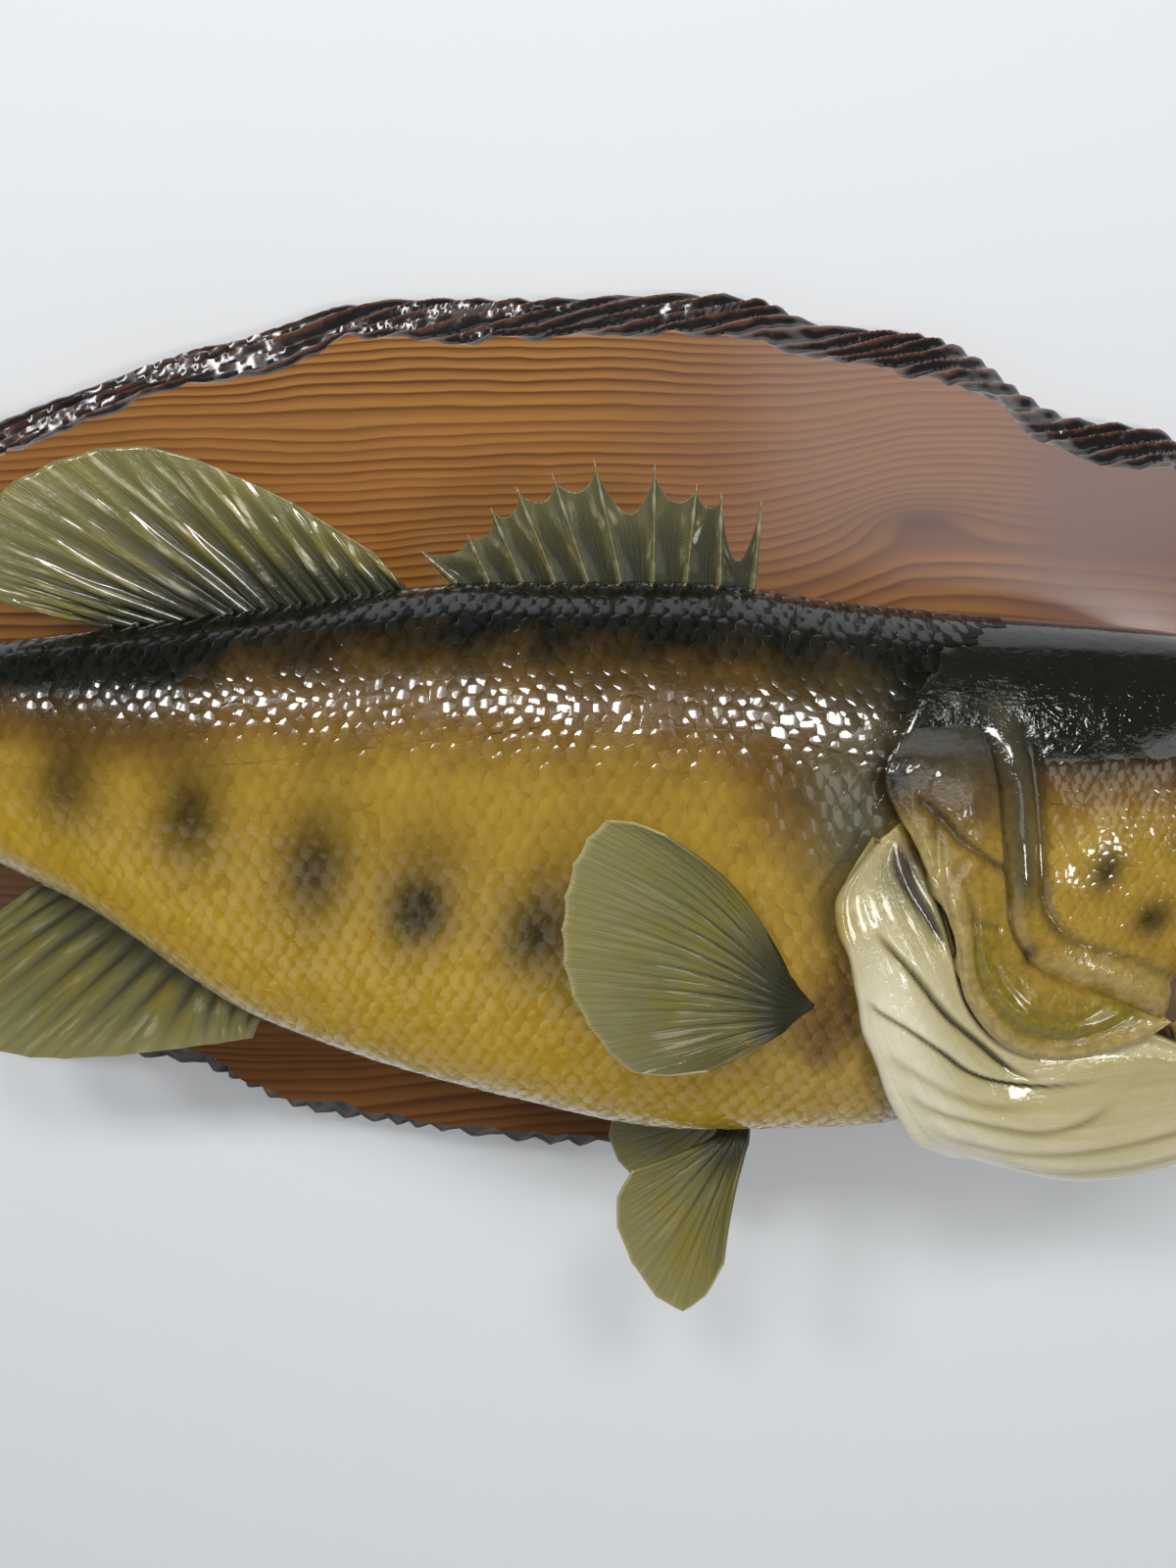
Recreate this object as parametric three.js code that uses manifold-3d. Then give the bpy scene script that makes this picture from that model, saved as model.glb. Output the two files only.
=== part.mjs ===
// A largemouth bass, mounted with its mouth open and its gill covers spread, on a varnished
// slab of wood that hangs on a wall. Life size, in millimetres.
//
// +X runs from tail to snout, +Z is up and the wall is the plane Y = 0. The slab's back lies on
// the wall, and the fish is in front of the slab, with its right side to the viewer at -Y.
// The fish is described in its own measures: s is the distance from the snout towards the tail,
// out is the distance from its middle plane towards the viewer, and z is the height.

import * as THREE from 'three';
import { mergeVertices } from 'three/addons/utils/BufferGeometryUtils.js';
import Module from 'manifold-3d';

const wasm = await Module();
wasm.setup();

// ---------------------------------------------------------------- driving dimensions

const GAP = 0.3; // between two pieces that touch

const SLAB_THICKNESS = 28;
const RIM_WIDTH = 17; // of the chipped edge, seen from the front
const RIM_LIP = 7; // depth of the edge's upright part, next to the wall
const HANGER = { width: 62, height: 15, thickness: 1.6, pocket: 3, z: 112 };

const TOTAL_LENGTH = 575; // snout to tail tip, mouth shut
const SNOUT_X = 263;
const MID_PLANE_Y = -70;
const HEAD_BEND = 30; // how far the snout stands off the middle plane, towards the viewer
const HEAD_BEND_START = 290;
const TAIL_BEND = 10;
const TAIL_BEND_START = 320;

const HEAD_END = 150;
const TRUNK_END = 416;
const TAIL_BASE = 480;

const EYE = { s: 57, z: 21, radius: 11.5, sunk: 7 };
const JAW_JOINT_S = 80;
const JAW_TIP_S = -22;

// ---------------------------------------------------------------- curves and meshes

// A smooth curve through rows of [position, value], with no overshoot between them.
function through(rows) {
  const secant = rows.slice(1).map((row, i) => (row[1] - rows[i][1]) / (row[0] - rows[i][0]));
  const slope = rows.map((_, i) => {
    const before = secant[Math.max(i - 1, 0)];
    const after = secant[Math.min(i, secant.length - 1)];
    return before * after <= 0 ? 0 : (2 * before * after) / (before + after);
  });
  return (x) => {
    const last = rows.length - 1;
    if (x <= rows[0][0]) return rows[0][1];
    if (x >= rows[last][0]) return rows[last][1];
    const i = rows.findIndex((row) => row[0] > x) - 1;
    const span = rows[i + 1][0] - rows[i][0];
    const t = (x - rows[i][0]) / span;
    const start = (1 + 2 * t) * (1 - t) ** 2 * rows[i][1] + t * (1 - t) ** 2 * span * slope[i];
    const end = t * t * (3 - 2 * t) * rows[i + 1][1] + t * t * (t - 1) * span * slope[i + 1];
    return start + end;
  };
}

const lerp = (a, b, t) => a + (b - a) * t;
const spread = (count, from = 0, to = 1) =>
  Array.from({ length: count }, (_, i) => lerp(from, to, i / (count - 1)));

// A point on a round curve through a few points, for u from 0 to 1.
function along(points, u) {
  const curve = new THREE.CatmullRomCurve3(points.map((p) => new THREE.Vector3(...p)));
  return curve.getPoint(u).toArray();
}

// A closed geometry from points and triangles, turned so that its faces point out.
function closedGeometry(points, triangles) {
  const position = points.flatMap((p) => p.toArray());
  const corner = new THREE.Vector3();
  const volume = triangles.reduce((sum, [a, b, c]) => {
    corner.crossVectors(points[b], points[c]);
    return sum + points[a].dot(corner);
  }, 0);
  const index = triangles.flatMap(([a, b, c]) => (volume > 0 ? [a, b, c] : [a, c, b]));
  const geometry = new THREE.BufferGeometry();
  geometry.setAttribute('position', new THREE.Float32BufferAttribute(position, 3));
  geometry.setIndex(index);
  return geometry;
}

// A body through closed rings of equal length. Its ends are closed by strips across the ring.
function loft(rings) {
  const size = rings[0].length;
  const triangles = [];
  for (let r = 0; r + 1 < rings.length; r++) {
    for (let k = 0; k < size; k++) {
      const a = r * size + k;
      const b = r * size + ((k + 1) % size);
      triangles.push([a, b, b + size], [a, b + size, a + size]);
    }
  }
  const strip = (first, turned) => {
    for (let k = 0; k + 1 < size / 2; k++) {
      const quad = [first + k, first + k + 1, first + size - 2 - k, first + size - 1 - k];
      if (turned) quad.reverse();
      triangles.push([quad[0], quad[2], quad[1]]);
      if (quad[3] !== quad[2]) triangles.push([quad[0], quad[3], quad[2]]);
    }
  };
  strip(0, false);
  strip((rings.length - 1) * size, true);
  return closedGeometry(rings.flat(), triangles);
}

// A plate between two grids of points of the same shape.
function plate(front, back) {
  const rows = front.length;
  const columns = front[0].length;
  const offset = rows * columns;
  const id = (i, j) => i * columns + j;
  const triangles = [];
  for (let i = 0; i + 1 < rows; i++) {
    for (let j = 0; j + 1 < columns; j++) {
      const [a, b, c, d] = [id(i, j), id(i, j + 1), id(i + 1, j + 1), id(i + 1, j)];
      triangles.push([a, b, c], [a, c, d]);
      triangles.push([a + offset, c + offset, b + offset], [a + offset, d + offset, c + offset]);
    }
  }
  const rim = [];
  for (let j = 0; j < columns - 1; j++) rim.push(id(0, j));
  for (let i = 0; i < rows - 1; i++) rim.push(id(i, columns - 1));
  for (let j = columns - 1; j > 0; j--) rim.push(id(rows - 1, j));
  for (let i = rows - 1; i > 0; i--) rim.push(id(i, 0));
  rim.forEach((a, k) => {
    const b = rim[(k + 1) % rim.length];
    triangles.push([a, b + offset, b], [a, a + offset, b + offset]);
  });
  return closedGeometry([...front.flat(), ...back.flat()], triangles);
}

function toSolid(geometry) {
  const bare = geometry.clone();
  bare.deleteAttribute('normal');
  bare.deleteAttribute('uv');
  const merged = mergeVertices(bare, 1e-4);
  return new wasm.Manifold(
    new wasm.Mesh({
      numProp: 3,
      vertProperties: new Float32Array(merged.attributes.position.array),
      triVerts: new Uint32Array(merged.index.array),
    }),
  );
}

// What is left of a piece after its neighbours are cut away. Loose crumbs are dropped.
function carve(geometry, neighbours) {
  let solid = toSolid(geometry);
  neighbours.forEach((neighbour) => {
    solid = solid.subtract(toSolid(neighbour));
  });
  const [largest] = solid.decompose().sort((a, b) => b.volume() - a.volume());
  const { vertProperties, triVerts } = largest.getMesh();
  const carved = new THREE.BufferGeometry();
  carved.setAttribute('position', new THREE.Float32BufferAttribute(vertProperties, 3));
  carved.setIndex([...triVerts]);
  return carved;
}

// ---------------------------------------------------------------- the shape of the fish

const backLine = through([
  [0, 8], [8, 16], [25, 27], [50, 39.5], [80, 47.3], [128, 51.9], [168, 56.4], [213, 62.8],
  [271, 63.8], [346, 56.7], [403, 50.8], [445, 47.5], [480, 48],
]);
const keelLine = through([
  [0, -3], [JAW_JOINT_S, -58], [87, -84], [128, -99], [168, -107], [213, -108.5],
  [271, -97.5], [346, -71], [403, -29], [445, -11], [480, -11.5],
]);
const halfWidth = through([
  [0, 6], [8, 14], [25, 21], [50, 28], [80, 35], [128, 42], [193, 46.5], [242, 45],
  [291, 39], [346, 31], [403, 22], [445, 15], [480, 6.5],
]);
const widestLevel = through([[0, 2], [50, 2], [80, -8], [128, -18], [213, -20], [346, 0], [445, 18]]);
// 1 is an ellipse, less is squarer and more is sharper.
const backSharpness = through([[0, 0.8], [60, 0.75], [130, 1], [190, 1.12]]);
const bellySharpness = through([[0, 0.6], [JAW_JOINT_S, 0.5], [110, 0.85]]);

function bend(s) {
  const ahead = Math.max(0, HEAD_BEND_START - s) / HEAD_BEND_START;
  const behind = Math.max(0, s - TAIL_BEND_START) / (TOTAL_LENGTH - TAIL_BEND_START);
  return HEAD_BEND * ahead ** 2 + TAIL_BEND * behind ** 2;
}

// The far side is flat where it rests on the slab.
function place(s, out, z) {
  const y = MID_PLANE_Y - bend(s) - out;
  return new THREE.Vector3(SNOUT_X - s, Math.min(y, -SLAB_THICKNESS - GAP), z);
}

function halfWidthAt(s, z) {
  const level = widestLevel(s);
  const upper = z >= level;
  const reach = upper ? backLine(s) - level : level - keelLine(s);
  const share = Math.min(Math.abs(z - level) / reach, 1);
  const sharpness = upper ? backSharpness(s) : bellySharpness(s);
  return halfWidth(s) * (1 - share ** 2) ** (sharpness / 2);
}

const SECTION_POINTS = 24;

function bodyRing(s, grow) {
  const level = widestLevel(s);
  return Array.from({ length: SECTION_POINTS }, (_, k) => {
    const turn = ((k + 0.5) / SECTION_POINTS) * 2 * Math.PI - Math.PI / 2;
    const upper = Math.sin(turn) >= 0;
    const sharpness = upper ? backSharpness(s) : bellySharpness(s);
    const side = Math.sign(Math.cos(turn)) * Math.abs(Math.cos(turn)) ** sharpness;
    const reach = (upper ? backLine(s) - level : level - keelLine(s)) + grow;
    return place(s, (halfWidth(s) + grow) * side, level + reach * Math.sin(turn));
  });
}

const bodyLength = (stations, grow = 0) => loft(stations.map((s) => bodyRing(s, grow)));

const HEAD_STATIONS = [0, 2.5, 7, 14, 23, 34, 46, 58, 70, 80, 83.5, 87, 98, 112, 130, HEAD_END];
const TRUNK_STATIONS = spread(15, HEAD_END + GAP, TRUNK_END);
const STALK_STATIONS = spread(7, TRUNK_END + GAP, TAIL_BASE);

const grownHead = bodyLength([-GAP, ...HEAD_STATIONS.slice(1), HEAD_END + GAP], GAP);
const grownTrunk = bodyLength([HEAD_END, ...TRUNK_STATIONS.slice(1)], GAP);

// ---------------------------------------------------------------- head, eyes and mouth

function eyeGeometry(side, grow = 0) {
  const out = halfWidthAt(EYE.s, EYE.z) - EYE.sunk;
  const ball = new THREE.SphereGeometry(EYE.radius + grow, 16, 10);
  ball.rotateX(Math.PI / 2);
  const centre = place(EYE.s, side * out, EYE.z);
  return ball.translate(centre.x, centre.y, centre.z);
}

function headGeometry() {
  return carve(bodyLength(HEAD_STATIONS), [eyeGeometry(1, GAP), eyeGeometry(-1, GAP)]);
}

const lipHeight = (s) => lerp(-43, -58, (s - JAW_TIP_S) / (JAW_JOINT_S - JAW_TIP_S));
const jawHalfWidth = through([[-22, 6], [-19, 12], [-10, 19], [8, 25], [35, 29.5], [80, 34]]);
const jawDepth = through([[-22, 7], [-16, 13], [-5, 20], [10, 27], [35, 36], [60, 42], [80, 44]]);
const mouthDepth = through([[-22, 0.5], [-16, 3], [0, 14], [20, 22], [80, 27]]);
const JAW_WALL = 5;
const JAW_ARC = 10;

function lowerJawGeometry(grow = 0) {
  const stations = [-22, -20, -16, -10, 0, 12, 26, 42, 60, JAW_JOINT_S - GAP];
  const rings = stations.map((s) => {
    const wide = jawHalfWidth(s) + grow;
    const inner = Math.max(wide - JAW_WALL - 2 * grow, wide * 0.4);
    const outline = spread(JAW_ARC, 0, Math.PI).map((turn) => [
      wide * Math.cos(turn), lipHeight(s) + grow - (jawDepth(s) + 2 * grow) * Math.sin(turn) ** 0.8,
    ]);
    const floor = spread(JAW_ARC, Math.PI, 0).map((turn) => [
      inner * Math.cos(turn), lipHeight(s) + grow - mouthDepth(s) * Math.sin(turn),
    ]);
    return [...outline, ...floor].map(([out, z]) => place(s, out, z));
  });
  return carve(loft(rings), [grownHead]);
}

// The upper lip runs from the broad end of one upper jawbone round the snout to the other.
function upperJawGeometry() {
  const path = [
    [76, 37.5, -52], [56, 33, -38], [34, 26, -21], [15, 19, -9], [3, 10.5, -1.5],
    [-2, 0, 1],
  ];
  const mirrored = path.slice(0, -1).reverse().map(([s, out, z]) => [s, -out, z]);
  const whole = [...path, ...mirrored];
  const halfHeight = through([[0, 8], [0.06, 9.5], [0.2, 7], [0.32, 4.6], [0.5, 4.2]]);
  const rings = spread(21).map((u) => {
    const [s, out, z] = along(whole, u);
    const [nextS, nextOut] = along(whole, Math.min(u + 0.01, 1));
    const [lastS, lastOut] = along(whole, Math.max(u - 0.01, 0));
    const away = new THREE.Vector2(-(nextOut - lastOut), nextS - lastS).normalize();
    const height = halfHeight(Math.min(u, 1 - u));
    return spread(9, 0, 2 * Math.PI).slice(0, 8).map((turn) => {
      const thick = 2.6 * Math.cos(turn);
      return place(s + away.x * thick, out + away.y * thick, z + height * Math.sin(turn));
    });
  });
  return carve(loft(rings), [grownHead, lowerJawGeometry(GAP)]);
}

function tongueGeometry() {
  const wide = through([[2, 3], [8, 8], [24, 12], [62, 13]]);
  const rings = [2, 5, 12, 24, 42, 62].map((s) =>
    spread(13, 0, 2 * Math.PI).slice(0, 12).map((turn) => {
      const floor = lipHeight(s) - mouthDepth(s);
      return place(s, wide(s) * Math.cos(turn), floor + 4 + 4.5 * Math.sin(turn));
    }),
  );
  return carve(loft(rings), [lowerJawGeometry(GAP)]);
}

// ---------------------------------------------------------------- gill covers and membranes

// Where the cover starts behind the cheek, and its free edge, both from the top down.
const COVER_FRONT = [
  [129, 0, 25], [127, 0, 10], [126, 0, -12], [122, 0, -28], [108, 0, -41], [86, 0, -52],
];
const COVER_EDGE = [
  [156, 0, 26], [166, 0, 15], [157, 0, -6], [148, 0, -27], [143, 0, -47], [129, 0, -63],
  [112, 0, -67.5], [95, 0, -60],
];
const COVER_LIFT = 9; // of the free edge from the body, on the viewer's side
const FAR_COVER_LIFT = 4.5; // and on the side next to the slab
const COVER_THICKNESS = 3.6;

function gillCoverGeometry(side) {
  const rise = side > 0 ? COVER_LIFT : FAR_COVER_LIFT;
  const point = (u, v, depth) => {
    const [frontS, , frontZ] = along(COVER_FRONT, v);
    const [edgeS, , edgeZ] = along(COVER_EDGE, v);
    const s = lerp(frontS, edgeS, u);
    const z = lerp(frontZ, edgeZ, u);
    const lift = lerp(2, rise, u ** 0.8);
    return place(s, side * (halfWidthAt(s, z) + Math.max(lift - depth, GAP)), z);
  };
  const grid = (depth) => spread(12).map((v) => spread(6).map((u) => point(u, v, depth)));
  return carve(plate(grid(0), grid(COVER_THICKNESS)), [grownHead, grownTrunk]);
}

// The gill membrane hangs from the cover's edge and sweeps from behind the cover down under
// the throat. Each row runs from the cover to the membrane's free edge, as [s, out, z].
const MEMBRANE_ROWS = [
  [[158, 47, 4], [164, 49, 0], [168, 50, -3]],
  [[154, 49, -10], [168, 52, -15], [179, 54, -20]],
  [[147, 49, -32], [161, 53, -36], [174, 54, -39]],
  [[140, 47, -52], [155, 51, -58], [167, 49, -64]],
  [[128, 43, -64], [141, 43, -85], [151, 34, -98]],
  [[110, 40, -67], [121, 35, -103], [132, 15, -113]],
  [[90, 38, -67], [97, 28, -111], [104, 0.6, -119]],
  [[66, 36, -72], [68, 25, -104], [71, 0.6, -112]],
  [[38, 29, -72], [37, 18, -89], [35, 0.6, -96]],
];
const MEMBRANE_THICKNESS = 2.6;

function gillMembraneGeometry(side) {
  const narrow = side > 0 ? 1 : 0.9; // the far one is pressed in by the slab
  const surface = (u, v) => {
    const row = [0, 1, 2].map((k) => along(MEMBRANE_ROWS.map((points) => points[k]), u));
    return along(row, v);
  };
  const step = 0.01;
  const point = (u, v, depth) => {
    const [s, out, z] = surface(u, v);
    const [uFrom, uTo, vFrom, vTo] = [Math.max(u - step, 0), Math.min(u + step, 1),
      Math.max(v - step, 0), Math.min(v + step, 1)];
    const alongU = new THREE.Vector3(...surface(uTo, v)).sub(new THREE.Vector3(...surface(uFrom, v)));
    const alongV = new THREE.Vector3(...surface(u, vTo)).sub(new THREE.Vector3(...surface(u, vFrom)));
    const inward = alongV.cross(alongU).normalize().multiplyScalar(depth);
    return place(s + inward.x, side * Math.max((out + inward.y) * narrow, GAP), z + inward.z);
  };
  const grid = (depth) => spread(17).map((u) => spread(5).map((v) => point(u, v, depth)));
  const neighbours = [grownHead, grownTrunk, lowerJawGeometry(GAP), gillCoverGrown(side)];
  return carve(plate(grid(0), grid(MEMBRANE_THICKNESS)), neighbours);
}

// The gill cover with its skin moved out by the gap, to cut the membrane to it.
function gillCoverGrown(side) {
  const cover = gillCoverGeometry(side);
  const merged = mergeVertices(cover, 1e-4);
  merged.computeVertexNormals();
  const { position, normal } = merged.attributes;
  for (let i = 0; i < position.count; i++) {
    position.setXYZ(
      i,
      position.getX(i) + GAP * normal.getX(i),
      position.getY(i) + GAP * normal.getY(i),
      position.getZ(i) + GAP * normal.getZ(i),
    );
  }
  return merged;
}

// ---------------------------------------------------------------- fins

// A fin is a plate over its rays. A ray has a root, a tip and how far each stands out. The
// web between two rays is thinner than they are and dips below their tips.
function finGeometry({ rays, steps = 3, root = 2.4, tip = 0.8, web = 0.65, dip = 0.04, bow = [0, 0] }) {
  const columns = rays.flatMap((ray, i) => {
    if (i + 1 === rays.length) return [{ ...ray, share: 1, reach: 1 }];
    const next = rays[i + 1];
    const half = Object.fromEntries(Object.keys(ray).map((key) => [key, (ray[key] + next[key]) / 2]));
    return [{ ...ray, share: 1, reach: 1 }, { ...half, share: web, reach: 1 - dip }];
  });
  const grid = (face) =>
    columns.map((ray, i) =>
      spread(steps + 1).map((t) => {
        const w = t * ray.reach;
        const thick = lerp(root, tip, t) * ray.share;
        const sag = lerp(...bow, i / (columns.length - 1)) * Math.sin(Math.PI * w);
        return place(
          lerp(ray.rootS, ray.tipS, w) + sag * (ray.rootZ - ray.tipZ),
          lerp(ray.rootOut, ray.tipOut, w) + (face * thick) / 2,
          lerp(ray.rootZ, ray.tipZ, w) + sag * (ray.tipS - ray.rootS),
        );
      }),
    );
  return plate(grid(1), grid(-1));
}

const flatRay = (rootS, rootZ, tipS, tipZ) => ({ rootS, rootZ, rootOut: 0, tipS, tipZ, tipOut: 0 });

const SPINY_DORSAL = {
  start: 194, end: 281,
  tips: [191.5, 203, 210, 222, 239.5, 251.5, 262, 269.5, 276.5, 290.5],
  heights: [24, 25, 27, 32.5, 34, 30, 26.5, 20.5, 13, 9],
};
const SOFT_DORSAL = {
  start: 296, end: 385, rays: 12,
  tips: [[304, 0, 72.5], [334, 0, 91], [370, 0, 104], [404, 0, 96], [424, 0, 76], [413, 0, 60]],
};
const ANAL = {
  start: 348, end: 412, rays: 12,
  tips: [[352, 0, -79], [366, 0, -81], [410, 0, -84.5], [434, 0, -80], [448, 0, -63], [429, 0, -36]],
};

function spinyDorsalGeometry() {
  const { start, end, tips, heights } = SPINY_DORSAL;
  const rays = heights.map((height, i) => {
    const s = lerp(start, end, i / (heights.length - 1));
    const rootZ = backLine(s) + GAP;
    return flatRay(s, rootZ, tips[i], rootZ + height);
  });
  const fin = { rays, root: 3, tip: 0.7, web: 0.5, dip: 0.22 };
  return carve(finGeometry(fin), [grownTrunk]);
}

function softDorsalGeometry() {
  const { start, end, rays, tips } = SOFT_DORSAL;
  const list = spread(rays).map((u) => {
    const s = lerp(start, end, u);
    const [tipS, , tipZ] = along(tips, u);
    return flatRay(s, backLine(s) + GAP, tipS, tipZ);
  });
  return carve(finGeometry({ rays: list, root: 3.4, tip: 0.7 }), [grownTrunk]);
}

function analFinGeometry() {
  const { start, end, rays, tips } = ANAL;
  const list = spread(rays).map((u) => {
    const s = lerp(start, end, u);
    const [tipS, , tipZ] = along(tips, u);
    return flatRay(s, keelLine(s) - GAP, tipS, tipZ);
  });
  return carve(finGeometry({ rays: list, root: 3.2, tip: 0.7 }), [grownTrunk]);
}

const TAIL_FIN = { rays: 13, middle: 18, halfSpread: 68, fork: 17, lobe: 0.8, corner: 20 };

function tailFinGeometry() {
  const { rays, middle, halfSpread, fork, lobe, corner } = TAIL_FIN;
  const [top, bottom] = [backLine(TAIL_BASE) - 1, keelLine(TAIL_BASE) + 1];
  const list = spread(rays, -1, 1).map((u) => {
    const across = Math.min(Math.abs(u) / lobe, 1);
    const past = Math.max(Math.abs(u) - lobe, 0) / (1 - lobe);
    const tipS = TOTAL_LENGTH - fork * (1 - Math.sin((across * Math.PI) / 2) ** 2) - corner * past ** 2;
    const tipZ = middle + halfSpread * Math.sin((u * Math.PI) / 2.1);
    return flatRay(TAIL_BASE + GAP, lerp(bottom, top, (u + 1) / 2), tipS, tipZ);
  });
  return finGeometry({ rays: list, steps: 4, root: 7, tip: 0.8, web: 0.8, dip: 0.02 });
}

// A paired fin fans out from a short root; its outline of tips runs from the leading ray.
function fanGeometry({ rays, root, tips, rootOut, tipOut, thick, side, bow }) {
  const list = spread(rays).map((u) => {
    const [rootS, , rootZ] = along(root, u);
    const [tipS, , tipZ] = along(tips, u);
    return { rootS, rootZ, rootOut: side * rootOut, tipS, tipZ, tipOut: side * tipOut };
  });
  const fin = finGeometry({ rays: list, root: thick, tip: 0.7, web: 0.6, dip: 0.03, bow });
  return carve(fin, [grownTrunk]);
}

const RIGHT_PECTORAL = {
  rays: 13, rootOut: 47.5, tipOut: 60, thick: 3.2, side: 1, bow: [0.09, -0.02],
  root: [[190, 0, -42], [188.5, 0, -49], [191, 0, -57]],
  tips: [
    [224, 0, 2.5], [238, 0, 6.5], [246.5, 0, -3], [250.5, 0, -19], [250, 0, -36], [243, 0, -52],
    [232, 0, -63.5], [213, 0, -63],
  ],
};
// The left one is folded down into the wedge between the belly and the slab.
const LEFT_PECTORAL = {
  rays: 13, rootOut: 35, tipOut: 35.5, thick: 1.6, side: -1, bow: [0.05, -0.02],
  root: [[194, 0, -74], [191, 0, -79], [190, 0, -86]],
  tips: [
    [246, 0, -74], [253, 0, -84], [252, 0, -99], [244, 0, -112], [231, 0, -122],
    [214, 0, -126], [203, 0, -120],
  ],
};
const PELVIC = {
  rays: 7, thick: 2.4, bow: [0.03, -0.03],
  root: [[194, 0, -109], [198, 0, -110], [204, 0, -110.5]],
};
const RIGHT_PELVIC = {
  ...PELVIC, side: 1, rootOut: 9, tipOut: 24,
  tips: [
    [204, 0, -146], [211, 0, -159], [219, 0, -163], [229, 0, -152], [236, 0, -137],
    [237, 0, -125], [232, 0, -114],
  ],
};
const LEFT_PELVIC = {
  ...PELVIC, side: -1, rootOut: 9, tipOut: 22,
  tips: [
    [206, 0, -140], [213, 0, -148], [222, 0, -149], [232, 0, -142], [238, 0, -131],
    [237, 0, -121], [231, 0, -113],
  ],
};

// ---------------------------------------------------------------- slab and hanger

const SLAB_OUTLINE = [
  [-170, 120], [-124, 135.5], [-80, 146], [-54, 153], [10, 153.5], [78, 152.5], [98, 144.5], [143, 137.5],
  [180, 114.5], [221, 105.5], [240, 84], [248, 40], [244, -10], [228, -58], [186, -106],
  [130, -133], [72, -148], [25, -157], [-58, -146], [-95, -138], [-131, -120], [-204, -108],
  [-240, -86], [-258, -42], [-260, 8], [-246, 60], [-212, 100],
];
const SLAB_STEPS = 96;

function slabGeometry() {
  const edge = new THREE.CatmullRomCurve3(
    SLAB_OUTLINE.map(([x, z]) => new THREE.Vector3(x, 0, z)), true, 'centripetal',
  );
  const ringAt = (y, inset, chip) =>
    spread(SLAB_STEPS + 1).slice(0, SLAB_STEPS).map((u, k) => {
      const point = edge.getPointAt(u);
      const tangent = edge.getTangentAt(u);
      const inward = new THREE.Vector3(tangent.z, 0, -tangent.x).normalize();
      const notch = chip * Math.sin(k * 2.4) * Math.sin(k * 0.9 + 1);
      return point.addScaledVector(inward, inset + notch).setY(y);
    });
  const rings = [
    ringAt(0, 2, 0),
    ringAt(-RIM_LIP, 0.4, 0.8),
    ringAt(-SLAB_THICKNESS * 0.62, RIM_WIDTH * 0.42, 1.6),
    ringAt(-SLAB_THICKNESS, RIM_WIDTH, 1.8),
  ];
  const pocket = new THREE.BoxGeometry(HANGER.width + 2, 2 * HANGER.pocket, HANGER.height + 2);
  pocket.translate(0, 0, HANGER.z);
  return carve(loft(rings), [pocket]);
}

// A saw-toothed strip that sits in a pocket in the slab's back.
function hangerGeometry() {
  const { width, height, thickness, pocket, z } = HANGER;
  const teeth = 8;
  const outline = new THREE.Shape();
  outline.moveTo(-width / 2, height / 2);
  outline.lineTo(-width / 2, -height / 2);
  for (let tooth = 0; tooth < teeth; tooth++) {
    const step = (width * 0.6) / teeth;
    const x = -width * 0.3 + tooth * step;
    outline.lineTo(x, -height / 2);
    outline.lineTo(x + step / 2, -height / 2 + 3);
  }
  outline.lineTo(width * 0.3, -height / 2);
  outline.lineTo(width / 2, -height / 2);
  outline.lineTo(width / 2, height / 2);
  outline.closePath();
  const strip = new THREE.ExtrudeGeometry(outline, { depth: thickness, bevelEnabled: false });
  strip.rotateX(Math.PI / 2);
  return strip.translate(0, -pocket + GAP + thickness, z);
}

// ---------------------------------------------------------------- the model

const finish = (color, roughness = 0.3, metalness = 0) =>
  new THREE.MeshStandardMaterial({ color, roughness, metalness });

function piece(name, geometry, material) {
  const mesh = new THREE.Mesh(geometry, material);
  mesh.name = name;
  return mesh;
}

const model = new THREE.Group();
model.add(
  piece('board', slabGeometry(), finish('#8a5227', 0.35)),
  piece('hanger_plate', hangerGeometry(), finish('#8f8f8b', 0.4, 0.9)),
  piece('head', headGeometry(), finish('#4a4517')),
  piece('trunk', bodyLength(TRUNK_STATIONS), finish('#8c6a1c')),
  piece('tail_stalk', bodyLength(STALK_STATIONS), finish('#7d6420')),
  piece('upper_jaw', upperJawGeometry(), finish('#57561f')),
  piece('lower_jaw', lowerJawGeometry(), finish('#b3a874')),
  piece('tongue', tongueGeometry(), finish('#c8a796')),
  piece('eye_right', eyeGeometry(1), finish('#1d1710', 0.05)),
  piece('eye_left', eyeGeometry(-1), finish('#1d1710', 0.05)),
  piece('gill_cover_right', gillCoverGeometry(1), finish('#6c661d')),
  piece('gill_cover_left', gillCoverGeometry(-1), finish('#6c661d')),
  piece('gill_membrane_right', gillMembraneGeometry(1), finish('#b8b08e')),
  piece('gill_membrane_left', gillMembraneGeometry(-1), finish('#b8b08e')),
  piece('dorsal_fin_spiny', spinyDorsalGeometry(), finish('#4b4a22')),
  piece('dorsal_fin_soft', softDorsalGeometry(), finish('#4b4a22')),
  piece('anal_fin', analFinGeometry(), finish('#6a6326')),
  piece('tail_fin', tailFinGeometry(), finish('#4e4b22')),
  piece('pectoral_fin_right', fanGeometry(RIGHT_PECTORAL), finish('#6d673a')),
  piece('pectoral_fin_left', fanGeometry(LEFT_PECTORAL), finish('#6d673a')),
  piece('pelvic_fin_right', fanGeometry(RIGHT_PELVIC), finish('#6b6636')),
  piece('pelvic_fin_left', fanGeometry(LEFT_PELVIC), finish('#6b6636')),
);

export default model;
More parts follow.
